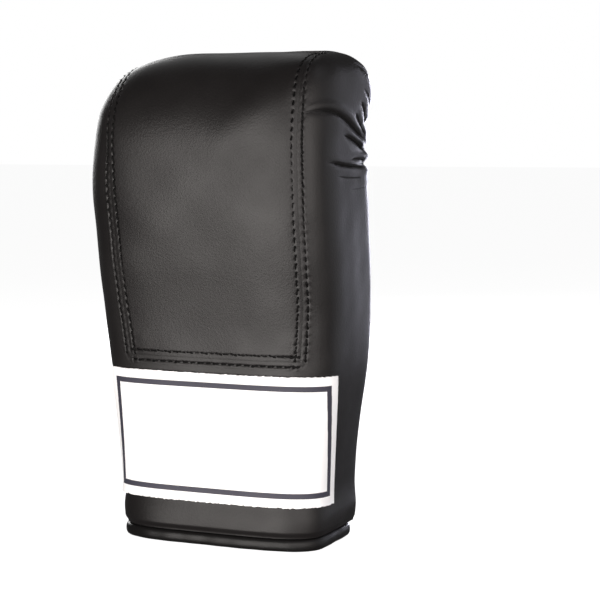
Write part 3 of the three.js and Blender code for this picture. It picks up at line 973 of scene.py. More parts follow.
@dataclass(frozen=True)
class WovenCloth(Finish):
    """Close woven cloth: two sets of threads too fine to see, drawn a little coarser than real."""

    thread: float = 0.6
    depth: float = 0.03

    def make(self) -> bpy.types.Material:
        """Makes the material.

        Returns:
            The material.
        """
        material, tree, shader, coordinates = self.start()
        place = coordinates.outputs["Object"]
        cloud = add_node(tree, "ShaderNodeTexNoise", {
            "Vector": place, "Scale": per_mm(25), "Detail": 3.0})
        dull = add_node(tree, "ShaderNodeMapRange", {
            "Value": cloud.outputs["Fac"], "From Min": 0.3, "From Max": 0.7,
            "To Min": self.roughness - 0.04, "To Max": self.roughness + 0.05})
        tree.links.new(dull.outputs["Result"], shader.inputs["Roughness"])
        waves = [add_node(tree, "ShaderNodeTexWave", {
            "Vector": place, "Scale": per_mm(self.thread) / 20, "Distortion": 0.5, "Detail": 1.0},
            wave_type="BANDS", bands_direction=axis) for axis in ("X", "Z")]
        weave = add_node(tree, "ShaderNodeMath", {
            0: waves[0].outputs["Fac"], 1: waves[1].outputs["Fac"]}, operation="ADD")
        bump = add_node(tree, "ShaderNodeBump", {
            "Height": weave.outputs[0], "Strength": 0.5, "Distance": self.depth * METRES})
        tree.links.new(bump.outputs["Normal"], shader.inputs["Normal"])
        return material


@dataclass(frozen=True)
class SewingThread(Finish):
    """Bonded polyester thread: black, with a fine twist that catches the light."""

    twist: float = 0.35

    def make(self) -> bpy.types.Material:
        """Makes the material.

        Returns:
            The material.
        """
        material, tree, shader, coordinates = self.start()
        twist = add_node(tree, "ShaderNodeTexNoise", {
            "Vector": coordinates.outputs["Object"], "Scale": per_mm(self.twist), "Detail": 2.0})
        tone = add_node(tree, "ShaderNodeMixRGB", {
            "Fac": twist.outputs["Fac"], "Color1": linear(self.colour), "Color2": linear("#0d0c0c")})
        tree.links.new(tone.outputs[0], shader.inputs["Base Color"])
        bump = add_node(tree, "ShaderNodeBump", {
            "Height": twist.outputs["Fac"], "Strength": 0.5, "Distance": 0.05 * METRES})
        tree.links.new(bump.outputs["Normal"], shader.inputs["Normal"])
        return material


def seam_steps(total: float, count: int, fine: float = 0.45, reach: float = 6.3) -> np.ndarray:
    """Distances from a stitched seam, close together beside it and even further out."""
    near = np.arange(0, reach, fine)
    return np.concatenate([near, np.linspace(near[-1] + fine, total, count)])


@dataclass
class PaddedCover:
    """Back panel, surround and finger roll: leather over foam, with the hollow for the hand."""

    leather: bpy.types.Material
    pocket: bpy.types.Material
    middle_columns: int = 31
    low_rows: int = 90
    roll_rows: int = 180
    roll_from: float = 0.46
    strip_columns: int = 60
    cuff_rows: int = 62
    rows_off_crest: int = 6
    hollow_steps: int = 14
    recess_depth: float = 5.2
    panel_thickness: float = 4.6
    panel_gap: float = 0.08
    seam_depth: float = 0.06
    groove_depth: float = 0.12
    needle_depth: float = 0.55
    pillow_rise: float = 0.22
    crown_rise: float = 0.25
    crown_from: float = 9.0
    crown_width: float = 5.0
    foot_tuck: float = 1.3
    cuff_swell: float = 0.5
    swell_height: float = 17.0
    row_offset: float = 2.75
    pitch: float = 4.6
    pleats: int = 20
    pleat_depth: float = 1.9
    left_creasing: float = 0.15
    crease_reach: float = 1.6
    shoulder_swell: float = 4.2
    left_pull: float = 2.2
    rows: list[tuple[np.ndarray, np.ndarray]] = field(default_factory=list)

    def panel_shares(self) -> np.ndarray:
        """Places of the panel's columns, as shares of the way from the middle to its edges.

        Returns:
            The shares, from -1 on the left to 1 on the right.
        """
        near = seam_steps(1.0, 0) / FORM.panel_right
        middle = np.linspace(-1, 1, self.middle_columns) * (1 - near[-1] - near[1])
        return np.concatenate([near - 1, middle, (1 - near)[::-1]])

    def row_runs(self, end: float) -> np.ndarray:
        """Distances of the rows from the panel's foot, close together where the roll is creased.

        Args:
            end: length of the column, up to the crest.

        Returns:
            The distances, as many for every column.
        """
        near = seam_steps(1.0, 0)
        low = np.linspace(near[-1], end * self.roll_from, self.low_rows)[1:]
        return np.concatenate([near, low, np.linspace(low[-1], end, self.roll_rows)[1:]])

    def panel_column(self, across: float, inset: float) -> np.ndarray:
        """Line up the back panel to the crest, at a share of the way to the panel's edge.

        Args:
            across: the share, less than 0 on the left.
            inset: how far the panel is drawn in from its edges.

        Returns:
            The points.
        """
        form = FORM
        crest = form.length
        for _ in range(4):
            crest = float(form.crest_z(across * (form.panel_edge(crest, across) - inset)))
        level = np.linspace(form.panel_foot + inset, form.fan_height, 150)
        fan = crest - (crest - form.fan_height) * np.linspace(1, 0, 220)[1:] ** 3
        z = np.concatenate([level, fan])
        x = across * (form.panel_edge(z, across) - inset)
        y = form.back_face(x, z)
        y[-1] = 0.0
        return np.column_stack([x, y, z])

    def panel_grid(self, inset: float) -> np.ndarray:
        """Points of the back panel's outer face, row by row from its foot to the crest.

        Args:
            inset: how far the panel is drawn in from its edges.

        Returns:
            The grid of points.
        """
        columns = []
        for share in self.panel_shares():
            line = self.panel_column(float(share), inset)
            end = run_of(line)[-1] - inset / 3
            columns.append(at_runs(line, self.row_runs(end)))
        return np.stack(columns, axis=1)

    def seam_relief(self, distance: np.ndarray, run: np.ndarray | None = None) -> np.ndarray:
        """Depth of the leather near the stitched seam.

        Args:
            distance: how far from the seam.
            run: how far along the row of stitches, where it puckers the leather.

        Returns:
            The depth in millimetres.
        """
        beside = np.abs(distance - self.row_offset)
        depth = self.seam_depth * hump(distance, 0.5) + self.groove_depth * hump(beside, 0.9)
        depth -= self.crown_rise * hump(distance - self.crown_from, self.crown_width)
        if run is not None:
            pillow = np.sin(math.pi * run / self.pitch) ** 2
            depth = depth + self.needle_depth * (1 - pillow) ** 3 * hump(beside, 0.6)
            depth = depth - self.pillow_rise * pillow * hump(beside - 1.1, 0.7)
        return depth

    def seam_fade(self, x: np.ndarray, z: np.ndarray) -> np.ndarray:
        """How much of the seam's relief is left, which runs out just under the crest."""
        return 1 - ease(-9, -0.5, z - FORM.crest_z(x))

    def even_run(self, line: np.ndarray) -> np.ndarray:
        """Length along a row, stretched so that it holds a whole number of stitches.

        Args:
            line: the row's points.

        Returns:
            The length at each point.
        """
        run = run_of(line)
        count = max(1, round(run[-1] / self.pitch))
        return run * (count * self.pitch / run[-1])

    def line_beside(self, grid: np.ndarray, offset: float) -> np.ndarray:
        """Line on a surface at a distance from its first column, measured along its rows.

        Args:
            grid: the surface.
            offset: the distance.

        Returns:
            The points of the line.
        """
        lines = []
        for row in grid:
            lines.append(at_runs(row, np.array([offset]))[0])
        return np.stack(lines)

    def note_row(self, grid: np.ndarray) -> None:
        """Keeps the line and the outward normals of a row of stitches on a finished surface."""
        self.rows.append((self.line_beside(grid, self.row_offset),
                          self.normals_beside(grid, outward(grid))))

    def normals_beside(self, grid: np.ndarray, normals: np.ndarray) -> np.ndarray:
        """Normals along the row of stitches beside a surface's first column.

        Args:
            grid: the surface.
            normals: its normals.

        Returns:
            A normal for each row.
        """
        found = []
        for row, ups in zip(grid, normals):
            column = int(np.searchsorted(run_of(row[:40]), self.row_offset))
            found.append(ups[column])
        return np.stack(found)

    def panel_relief(self, grid: np.ndarray) -> np.ndarray:
        """Depth of the panel's outer face below the plain form.

        Args:
            grid: the panel's plain face.

        Returns:
            The depth in millimetres.
        """
        x, z = grid[..., 0], grid[..., 2]
        to_side = FORM.panel_edge(z, x) - np.abs(x)
        to_foot = z - FORM.panel_foot
        fade = self.seam_fade(x, z)
        up = np.stack([self.even_run(grid[:, 0]), self.even_run(grid[:, -1])])
        side_run = np.where(x >= 0, up[1][:, None], up[0][:, None])
        foot_run = np.broadcast_to(self.even_run(grid[0])[None, :], x.shape)
        side = self.seam_relief(to_side, side_run) * fade
        foot = self.seam_relief(to_foot, foot_run)
        return np.maximum(side, foot) + unevenness(grid)

    def gathers(self, degrees: np.ndarray, share: np.ndarray,
                side: Side) -> tuple[np.ndarray, np.ndarray]:
        """Pleats and creases round the end of the roll.

        Args:
            degrees: angle of the station in the knuckle fan.
            share: share of the profile, 0 on the back and 1 at the palm seam.
            side: the side of the glove.

        Returns:
            The depth in millimetres, and for each place its distance from the nearest crease
            and that crease's strength.
        """
        draw = np.random.default_rng(11 + side.value)
        period = 180.0 / self.pleats
        degrees, share = np.broadcast_arrays(degrees, share)
        depth, nearest = np.zeros(degrees.shape), np.tile(NO_CREASE, (*degrees.shape, 1))
        round_the_top = ease(-9, 4, degrees)
        # Each pleat starts at its own place on the turn and runs out just before the palm seam.
        for k in range(-2, self.pleats // 2 + 1):
            centre = period * (k + 0.4) + draw.uniform(-1.6, 1.6)
            strength = draw.uniform(0.55, 1.25)
            start = draw.uniform(0.80, 0.90)
            rise = ease(start, 0.97, share) * (1 - ease(0.982, 1.0, share))
            off = degrees - centre - draw.uniform(-9, 9) * (share - 0.9)
            valley = 0.6 * hump(off, 1.7) + 0.4 * hump(off, 0.7) - 0.3 * hump(np.abs(off) - 3.2, 1.4)
            depth += self.pleat_depth * strength * rise * round_the_top * valley
            # Each pleat is also noted as a crease, so the leather draws a line of painted shade along it.
            self.note_crease(nearest, off * MM_PER_DEGREE, 0.7 * rise * round_the_top)
        part = 1.0 if side is Side.RIGHT else self.left_creasing
        for crease in CREASES:
            folded, apart, strength = self.crease_depth(crease, degrees, share)
            depth += part * folded
            # Each crease is noted too, for the line of painted shade that the leather draws along it.
            self.note_crease(nearest, apart, part * strength)
        return depth, nearest

    def note_crease(self, nearest: np.ndarray, apart: np.ndarray, strength: np.ndarray) -> None:
        """Keeps a crease where it is the nearest one so far.

        Args:
            nearest: distance and strength of the nearest crease, changed in place.
            apart: signed distance from the crease in millimetres.
            strength: the crease's strength, which counts only close beside it.
        """
        closer = (strength > 0) & (np.abs(apart) < np.minimum(self.crease_reach, np.abs(nearest[..., 0])))
        nearest[closer, 0] = apart[closer]
        nearest[closer, 1] = strength[closer]

    def crease_depth(self, crease: Crease, degrees: np.ndarray,
                     share: np.ndarray) -> tuple[np.ndarray, np.ndarray, np.ndarray]:
        """One crease: a sharp valley under leather that bulges over it from above.

        Args:
            crease: the crease.
            degrees: angle of the station in the knuckle fan.
            share: share of the profile.

        Returns:
            The depth, the signed distance from the crease's line, and its strength from 0 to 1.
        """
        along = (share - crease.first) / (crease.last - crease.first)
        t = np.clip(along, 0, 1)
        line = (1 - t) ** 2 * crease.begin + 2 * t * (1 - t) * crease.middle + t**2 * crease.end
        apart = (degrees - line) * MM_PER_DEGREE
        off = apart / crease.width
        # The valley is steep above its line and shallow below it, and the leather bulges above.
        swell = ease(0, 0.3, t) * (1 - ease(0.8, 1.0, t))
        valley = np.exp(-np.abs(off) / np.where(off < 0, 1.7, 0.8))
        bulge = 0.45 * hump(off - 3.2, 2.0)
        strength = min(1.0, crease.depth) * ease(0, 0.25, t) * (1 - ease(0.85, 1.0, t))
        return crease.depth * swell * (valley - bulge), apart, strength

    def strip(self, station: Station, border: Sequence[float]) -> tuple[np.ndarray, ...]:
        """Points from a place on the panel's border out to the palm seam.

        Args:
            station: the station through the place.
            border: the place on the panel's border.

        Returns:
            The points, their shares of the whole profile and their distances from the border.
        """
        profile = FORM.outer_profile(station)
        run = run_of(profile)
        back = profile[:QUARTER_STEPS + 1]
        key = math.hypot(border[0], border[2] - station.base_z) + border[1]
        start = float(np.interp(key, back.sum(axis=1), run[:len(back)]))
        runs = start + seam_steps(run[-1] - start, self.strip_columns)
        flat = at_runs(profile, runs)
        return station.place(flat[:, 0], flat[:, 1]), runs / run[-1], runs - start

    def side_strips(self, border: np.ndarray) -> tuple[np.ndarray, np.ndarray, list[Station]]:
        """Outer face round the panel, from its foot on the right over the crest to the left.

        Args:
            border: the panel's border.

        Returns:
            The grid of points, each one's distance from the nearest crease and that crease's
            strength, and the rows' stations.
        """
        stations = [FORM.station(x, z) for x, _, z in border]
        strips = [self.strip(s, place) for s, place in zip(stations, border)]
        grid = np.stack([points for points, _, _ in strips])
        share = np.stack([shares for _, shares, _ in strips])
        distance = np.stack([distances for _, _, distances in strips])
        degrees = np.array([s.degrees for s in stations])[:, None]
        sides = np.array([s.side for s in stations])
        fade = self.seam_fade(border[:, 0], border[:, 2])[:, None]
        height = len(self.row_runs(FORM.length))
        run = np.zeros(len(border))
        run[:height] = self.even_run(grid[:height, 0])
        run[-height:] = self.even_run(grid[-height:, 0][::-1])[::-1]
        on_right = sides[:, None] > 0
        shoulder = self.shoulder_swell * hump(degrees - 43, 17.0) * hump(share - 0.70, 0.14)
        pulled = self.left_pull * hump(degrees - 17, 14.0) * hump(share - 0.5, 0.22)
        depth = self.seam_relief(distance, run[:, None]) * fade
        depth += np.where(on_right, -shoulder, pulled)
        depth += unevenness(grid) * (1 - ease(0.9, 1, share))
        crease = np.tile(NO_CREASE, (*share.shape, 1))
        for side in Side:
            rows = sides == side.value
            folded, crease[rows] = self.gathers(degrees[rows], share[rows], side)
            depth[rows] += folded
        depth[:, -1] = 0
        return pressed(grid, depth), crease, stations

    def cuff_grid(self, across: np.ndarray) -> tuple[np.ndarray, np.ndarray]:
        """Outer face below the panel, from the left palm seam round the back to the right one.

        Args:
            across: shares of the panel's width where its columns stand.

        Returns:
            The grid of points and the heights of its rows.
        """
        form = FORM
        fold = 6.0
        down = seam_steps(form.panel_foot - form.cover_foot - fold, self.cuff_rows)
        heights = np.concatenate([np.arange(0, fold, 0.5) + form.cover_foot,
                                  form.panel_foot - down[::-1]])
        wide = float(form.section(form.panel_foot)[0])
        edges = {side: float(form.panel_edge(form.panel_foot, side.value)) for side in Side}
        rows, distances, shares = [], [], []
        for z in heights:
            half = float(form.section(z)[0])
            split = {side: edges[side] / wide * half for side in Side}
            middle_x = across * np.where(across >= 0, split[Side.RIGHT], split[Side.LEFT])
            middle = np.column_stack([middle_x, form.back_face(middle_x, z), np.full(len(across), z)])
            wings = {}
            for side in Side:
                border = (side.value * split[side], float(form.back_face(split[side], z)), z)
                wings[side] = self.strip(form.station(side.value, z), border)
            right, left = wings[Side.RIGHT], [part[::-1] for part in wings[Side.LEFT]]
            rows.append(np.concatenate([left[0][:-1], middle, right[0][1:]]))
            below = form.panel_foot - z
            distances.append(np.concatenate([np.hypot(below, left[2])[:-1], np.full(len(across), below),
                                             np.hypot(below, right[2])[1:]]))
            shares.append(np.concatenate([left[1][:-1], np.zeros(len(across)), right[1][1:]]))
        grid, distance, share = np.stack(rows), np.stack(distances), np.stack(shares)
        z = grid[..., 2]
        run = self.even_run(grid[-1])[None, :]
        inside_panel = np.abs(np.arange(grid.shape[1]) - grid.shape[1] / 2) < len(across) / 2
        foot = self.foot_tuck * (1 - ease(form.cover_foot + 0.3, form.cover_foot + 3.6, z))
        roll = self.cuff_swell * hump(z - self.swell_height, 5.0)
        relief = np.where(inside_panel[None, :], self.seam_relief(distance, run),
                          self.seam_relief(distance))
        depth = (relief + foot - roll + unevenness(grid)) * (1 - ease(0.93, 1, share))
        return pressed(grid, depth), heights

    def build(self) -> None:
        """Makes the surround and the back panel, and keeps the rows of stitches on both."""
        plain = self.panel_grid(0.0)
        self.build_surround(plain)
        self.build_panel(len(plain) - self.rows_off_crest)

    def build_surround(self, plain: np.ndarray) -> None:
        """Makes the surround, from the cuff over the finger roll, with the hollow for the hand.

        Args:
            plain: points of the plain form under the back panel.
        """
        recess = pressed(plain, np.full(plain.shape[:2], self.recess_depth))
        border = np.concatenate([plain[:, -1], plain[-1, -2:0:-1], plain[::-1, 0]])
        strips, crease, stations = self.side_strips(border)
        cuff, heights = self.cuff_grid(self.panel_shares())
        side = strips.shape[1] - 1
        strips[0] = cuff[-1, -side - 1:]
        strips[-1] = cuff[-1, side::-1]
        surround = Patchwork()
        surround.add_grid(cuff)
        surround.add_grid(strips, crease=crease)
        surround.add_grid(recess)
        loop = np.concatenate([recess[:, -1], recess[-1, -2:0:-1], recess[::-1, 0]])
        surround.add_grid(np.stack([strips[:, 0], loop], axis=1))
        surround.add_grid(np.stack([cuff[-1, side:-side], recess[0]], axis=1))
        rights = [FORM.station(1.0, z) for z in heights[:-1]]
        lefts = [FORM.station(-1.0, z) for z in heights[:-1]]
        whole = rights + stations + lefts[::-1]
        hollow = np.stack([FORM.hollow_ring(s, self.hollow_steps) for s in whole])
        surround.add_grid(hollow, mark=1)
        surround.add_face(np.concatenate([cuff[0], hollow[0, 1:], hollow[-1, -2:0:-1]]))
        cover = surround.build("surround_leather")
        smooth(cover)
        finish_piece(cover, [self.leather, self.pocket], ["surround_panel"])
        height = len(plain) - self.rows_off_crest
        self.note_row(strips[:height])
        self.note_row(strips[::-1][:height])
        self.note_row(cuff[::-1, side:-side].transpose(1, 0, 2))

    def build_panel(self, height: int) -> None:
        """Makes the back panel, set into the surround.

        Args:
            height: how many of its rows have stitches at their ends.
        """
        inset = self.panel_grid(self.panel_gap)
        top = pressed(inset, self.panel_relief(inset))
        under = pressed(inset, np.full(inset.shape[:2], self.panel_thickness))
        panel = Patchwork()
        panel.add_grid(top)
        panel.add_grid(under)
        for edge in (np.s_[:, -1], np.s_[-1], np.s_[:, 0], np.s_[0]):
            panel.add_grid(np.stack([top[edge], under[edge]], axis=1))
        pad = panel.build("back_panel_leather")
        smooth(pad)
        finish_piece(pad, [self.leather], ["center_panel"])
        self.note_row(top[:height, ::-1])
        self.note_row(top[:height])
        self.note_row(top.transpose(1, 0, 2))


@dataclass
class PalmSide:
    """Palm leather with its opening, the tape round it, and the lining behind it."""

    leather: bpy.types.Material
    tape: bpy.types.Material
    lining: bpy.types.Material
    spacing: float = 1.7
    tape_width: float = 4.5
    tape_thickness: float = 1.2
    lining_thickness: float = 1.2
    lining_margin: float = 3.5
    lining_sag: float = 7.0
    shoulder: float = 0.32
    piping: float = 0.9
    turn_reach: int = 9

    def opening(self, count: int = 40) -> np.ndarray:
        """Right half of the opening's edge, from the top of the slit to the middle of the top.

        Args:
            count: steps of each of its curves.

        Returns:
            Places in X and Z.
        """
        form = FORM

        def at(across: float, up: float) -> tuple[float, float]:
            """Place at shares of the opening's half width and of its height."""
            return form.opening_half * across, between(form.opening_foot, form.opening_top, up)

        slit_top = (form.slit_width / 2, form.opening_foot + form.slit_notch)
        parts = [
            bezier([slit_top, at(0.28, 0.15), at(0.45, 0), at(0.70, 0)], count),
            bezier([at(0.70, 0), at(0.90, 0), at(1, 0.14), at(1, self.shoulder)], count)[1:],
            bezier([at(1, self.shoulder), at(1, 0.70), at(0.88, 1), at(0.58, 1)], count)[1:],
            np.array([at(0, 1)]),
        ]
        return evenly(np.concatenate(parts), 130)

    def palm_outline(self) -> np.ndarray:
        """Closed outline of the palm leather, with the opening and the slit cut out.

        Returns:
            Places in X and Z.
        """
        form = FORM
        inset = form.sewn_gap
        seam = form.station(1.0, form.cover_foot).seam
        foot_x = np.linspace(form.slit_width / 2, seam - inset, 50)
        foot = np.column_stack([foot_x, form.foot_height(foot_x) + 0.2])
        heights = np.linspace(form.cover_foot + 2, form.fan_height, 90)
        side = np.column_stack([form.section(heights)[0] - form.seam_inset - inset, heights])
        angle = np.radians(np.linspace(0, 90, 80)[1:])
        reach = square_round(form.hand_width / 2 - form.seam_inset, form.seam_rise,
                             form.seam_corner, angle) - inset
        top = np.column_stack([reach * np.cos(angle), form.fan_height + reach * np.sin(angle)])
        outer = evenly(np.concatenate([foot, side, top]), 260)
        right = np.concatenate([outer[:-1], [[0.0, outer[-1, 1]]]])
        inner = self.opening()
        left = (right[:-1] * [-1, 1])[::-1]
        hole = np.concatenate([(inner * [-1, 1])[:-1], inner[::-1]])
        return np.concatenate([right, left, hole])

    def flat_mesh(self, name: str, outline: np.ndarray, surface: Callable) -> bpy.types.Object:
        """Makes a thin sheet over an outline.

        Args:
            name: the object's name.
            outline: its closed outline in X and Z.
            surface: gives the depth of its face from X and Z.

        Returns:
            The sheet, without thickness.
        """
        low, high = outline.min(axis=0), outline.max(axis=0)
        rows = []
        for k, z in enumerate(np.arange(low[1], high[1], self.spacing * 0.866)):
            x = np.arange(low[0] + (k % 2) * self.spacing / 2, high[0], self.spacing)
            rows.append(np.column_stack([x, np.full(len(x), z)]))
        lattice = np.concatenate(rows)
        closed = np.concatenate([outline, outline[:1]])
        lattice = lattice[inside(outline, lattice)]
        lattice = lattice[distance_to(closed, lattice) > 0.55 * self.spacing]
        points = [Vector(p) for p in np.concatenate([outline, lattice]).tolist()]
        count = len(outline)
        edges = [(k, (k + 1) % count) for k in range(count)]
        places, _, triangles, *_ = delaunay_2d_cdt(points, edges, [], 0, 1e-5)
        flat = np.array([tuple(p) for p in places])
        triangles = np.array([t for t in triangles if len(t) == 3])
        kept = triangles[inside(outline, flat[triangles].mean(axis=1))]
        sheet = Patchwork()
        sheet.add_points(np.column_stack([flat[:, 0], surface(flat[:, 0], flat[:, 1]), flat[:, 1]]))
        sheet.faces = [tuple(t) for t in kept.tolist()]
        sheet.marks = [0] * len(kept)
        return sheet.build(name, merge=1e-3)

    def palm_relief(self, x: np.ndarray, z: np.ndarray) -> np.ndarray:
        """Depth of the palm leather's face, with a soft unevenness."""
        places = np.column_stack([x, np.zeros(len(x)), z])
        return FORM.palm_y(x, z) - 0.4 * unevenness(places)

    def build_palm(self) -> bpy.types.Object:
        """Makes the palm leather.

        Returns:
            The palm leather.
        """
        outline = self.palm_outline()
        palm = self.flat_mesh("palm_leather", outline, self.palm_relief)
        self.face_palm(palm)
        thicken(palm, FORM.leather, -1.0)
        smooth(palm)
        finish_piece(palm, [self.leather], ["palm_panel"])
        return palm

    def face_palm(self, obj: bpy.types.Object) -> None:
        """Turns a sheet's faces towards the palm.

        Args:
            obj: the sheet.
        """
        select_only(obj)
        bpy.ops.object.mode_set(mode="EDIT")
        bpy.ops.mesh.select_all(action="SELECT")
        bpy.ops.mesh.normals_make_consistent(inside=False)
        bpy.ops.object.mode_set(mode="OBJECT")
        if sum(p.normal.y * p.area for p in obj.data.polygons) < 0:
            obj.data.flip_normals()

    def tape_section(self) -> np.ndarray:
        """Closed section of the folded tape: distance over the leather, and depth from its face.

        Returns:
            Distances over the leather and depths.
        """
        gap, thick = FORM.sewn_gap, self.tape_thickness
        front, back = gap + thick, -FORM.leather - gap - thick
        middle = (front + back) / 2
        radius = (front - back) / 2
        fold = [(-0.2 - 1.25 * math.cos(a), middle + radius * math.sin(a))
                for a in np.linspace(math.pi / 2, -math.pi / 2, 11)]
        slot = [(-0.1 - 0.4 * math.cos(a), middle + (radius - thick) * math.sin(a))
                for a in np.linspace(-math.pi / 2, math.pi / 2, 7)]
        width = self.tape_width
        return np.array([
            (width, gap), (width + 0.1, gap + 0.6), (width - 0.4, front - 0.15),
            (width - 1.1, front - 0.28), (width - 1.9, front + 0.05), (width - 2.6, front + 0.05),
            (width - 3.2, front - 0.25), (width - 3.9, front + 0.05), *fold, (2.0, back),
            (width, back), (width, -FORM.leather - gap), (2.0, -FORM.leather - gap), *slot, (2.0, gap),
        ])

    def build_tape(self) -> bpy.types.Object:
        """Makes the folded tape round the opening.

        Returns:
            The tape.
        """
        line = evenly(both_sides(self.opening()), 420)
        kernel = np.ones(self.turn_reach) / self.turn_reach
        ends = self.turn_reach // 2
        padded = np.pad(right_of(line), ((ends, ends), (0, 0)), mode="edge")
        out = np.column_stack([np.convolve(padded[:, k], kernel, mode="valid") for k in range(2)])
        section = self.tape_section()
        wave = 0.12 * np.sin(run_of(line) * 2 * math.pi / 5.3) + 0.1 * np.sin(run_of(line) / 3.1)
        rings = []
        for place, away, ripple in zip(line, out, wave):
            over = section[:, 0]
            flat = place + away * over[:, None]
            base = FORM.palm_y(flat[:, 0], flat[:, 1])
            lift = np.where(section[:, 1] > 0.5, ripple, 0)
            rings.append(np.column_stack([flat[:, 0], base + section[:, 1] + lift, flat[:, 1]]))
        tape = Patchwork()
        tape.add_tube(np.stack(rings))
        obj = tape.build("opening_tape")
        smooth(obj, 50)
        finish_piece(obj, [self.tape], ["opening_binding"])
        return obj

    def build_piping(self) -> bpy.types.Object:
        """Makes the thin piping sewn into the seam between the roll and the palm leather.

        Returns:
            The piping.
        """
        form = FORM
        lines = []
        for side in Side:
            heights = np.linspace(form.fan_height - 8, form.fan_height, 12)[:-1]
            level = [form.station(side.value, z) for z in heights]
            turns = np.radians(np.linspace(0.5, 90, 100))
            fan = [form.station(side.value * math.cos(a), form.fan_height + math.sin(a)) for a in turns]
            spots = [s.place(s.seam - 0.3, form.palm_face + 0.7) for s in level + fan]
            lines.append(np.stack(spots))
        line = np.concatenate([lines[0], lines[1][::-1][1:]])
        line = evenly(line, 420)
        step = np.gradient(line, axis=0)
        step /= np.linalg.norm(step, axis=1, keepdims=True)
        palm_way = np.array([0.0, 1.0, 0.0])
        away = np.cross(step, palm_way)
        radius = self.piping * (1 + 0.08 * np.sin(run_of(line) * 2 * math.pi / 3.4))
        rings = []
        for turn in np.linspace(0, 2 * math.pi, 10, endpoint=False):
            reach = away * math.cos(turn) + palm_way * math.sin(turn)
            rings.append(line + reach * radius[:, None])
        cord = Patchwork()
        cord.add_tube(np.stack(rings, axis=1))
        obj = cord.build("seam_piping")
        smooth(obj, 60)
        finish_piece(obj, [self.tape], [])
        return obj

    def lining_y(self, x: np.ndarray, z: np.ndarray) -> np.ndarray:
        """Depth of the lining's face, which sags between its sewn edges.

        Args:
            x: distance across.
            z: height.

        Returns:
            The depth.
        """
        form = FORM
        across = np.minimum(1, np.abs(x) / form.opening_half)
        up = ease(form.opening_foot, form.opening_top, z)
        sag = self.lining_sag * (1 - across**2) * (1 - up)
        behind = form.leather + 2 * form.sewn_gap + self.tape_thickness
        folds = 0.7 * np.sin(x / 9.5 + z / 21) * (1 - across**4) * ease(0.02, 0.35, up)
        return form.palm_y(x, z) - behind - sag - 0.7 * (1 - across**4) + folds

    def build_lining(self) -> bpy.types.Object:
        """Makes the sheet of lining behind the opening.

        Returns:
            The lining.
        """
        form = FORM
        edge = self.opening()
        sewn_from = between(form.opening_foot, form.opening_top, 0.24)
        edge = edge[(edge[:, 1] > sewn_from) & (edge[:, 0] > form.opening_half * 0.4)]
        sewn = edge + right_of(edge) * self.lining_margin
        half = form.opening_half + self.lining_margin

        def at(across: float, up: float) -> tuple[float, float]:
            """Place at shares of the lining's half width and of the opening's height."""
            return half * across, between(form.opening_foot, form.opening_top, up)

        free = np.concatenate([
            bezier([at(0, 0.32), at(0.25, 0.25), at(0.62, 0.11), at(0.76, 0.08)], 30),
            bezier([at(0.76, 0.08), at(0.85, 0.07), at(0.90, 0.17), at(0.93, 0.24)], 12)[1:],
        ])
        right = np.concatenate([free, sewn, [[0.0, form.opening_top + self.lining_margin]]])
        outline = evenly(right, 150)
        outline = np.concatenate([outline, (outline[1:-1] * [-1, 1])[::-1]])
        sheet = self.flat_mesh("palm_lining_cloth", outline, self.lining_y)
        self.face_palm(sheet)
        thicken(sheet, self.lining_thickness * 0.8, -1.0)
        smooth(sheet)
        finish_piece(sheet, [self.lining], ["palm_lining"])
        return sheet


@dataclass
class GripBar:
    """Padded bar across the fingers."""

    leather: bpy.types.Material
    height: float = 22.0
    bulge: float = 8.0
    end_gap: float = 2.0
    columns: int = 130
    around: int = 30

    def build(self) -> bpy.types.Object:
        """Makes the bar, puckered along its two stitched edges.

        Returns:
            The bar.
        """
        form = FORM
        half = form.station(1.0, form.fan_height).seam - self.end_gap
        across = np.sin(np.linspace(-1, 1, self.columns) * math.pi / 2)
        rings = []
        for share in across:
            x = half * share
            full = math.sqrt(max(0.0, 1 - abs(share) ** 9))
            bulge = self.bulge * (0.25 + 0.75 * full) * math.sqrt(1 - 0.7 * abs(share) ** 6)
            angle = np.linspace(0, math.pi, self.around)
            shape = np.abs(np.sin(angle)) ** 0.85
            pucker = 0.35 * np.sin(x * 2 * math.pi / 4.6) * hump(np.sin(angle) - 0.25, 0.25)
            z = form.fan_height + self.height / 2 * np.cos(angle) * (0.9 + 0.1 * full)
            lift = np.maximum(0.02, bulge * shape + pucker * full)
            y = form.palm_y(x, z) + form.sewn_gap + lift
            rings.append(np.column_stack([np.full(self.around, x), y, z]))
        bar = Patchwork()
        bar.add_tube(np.stack(rings))
        obj = bar.build("grip_bar_leather")
        smooth(obj, 60)
        finish_piece(obj, [self.leather], ["grip_bar"])
        return obj


@dataclass
class WristBand:
    """Ribbed elastic across the palm side of the cuff."""

    elastic: bpy.types.Material
    rib: float = 1.5
    rib_depth: float = 0.22
    columns: int = 90
    rows: int = 193

    def build(self) -> bpy.types.Object:
        """Makes the band.

        Returns:
            The band.
        """
        form = FORM
        z = np.linspace(form.band_foot, form.band_foot + form.band_width, self.rows)[:, None]
        half = form.section(z)[0] - form.seam_inset - 2 * form.sewn_gap
        x = half * np.linspace(-1, 1, self.columns)[None, :]
        ribs = self.rib_depth * np.abs(np.sin(math.pi * (z - form.band_foot) / self.rib))
        ripple = 0.25 * np.sin(x / 6.0) * (1 - (x / half) ** 4)
        y = form.palm_y(x, z) + form.sewn_gap + form.band_thickness - self.rib_depth + ribs + 0.4 * ripple
        grid = np.stack(np.broadcast_arrays(x, y, z), axis=-1)
        band = Patchwork()
        band.add_grid(grid)
        obj = band.build("wrist_elastic")
        if sum(p.normal.y * p.area for p in obj.data.polygons) < 0:
            obj.data.flip_normals()
        thicken(obj, form.band_thickness - 0.3, -1.0)
        smooth(obj, 60)
        finish_piece(obj, [self.elastic], ["wrist_band"])
        return obj


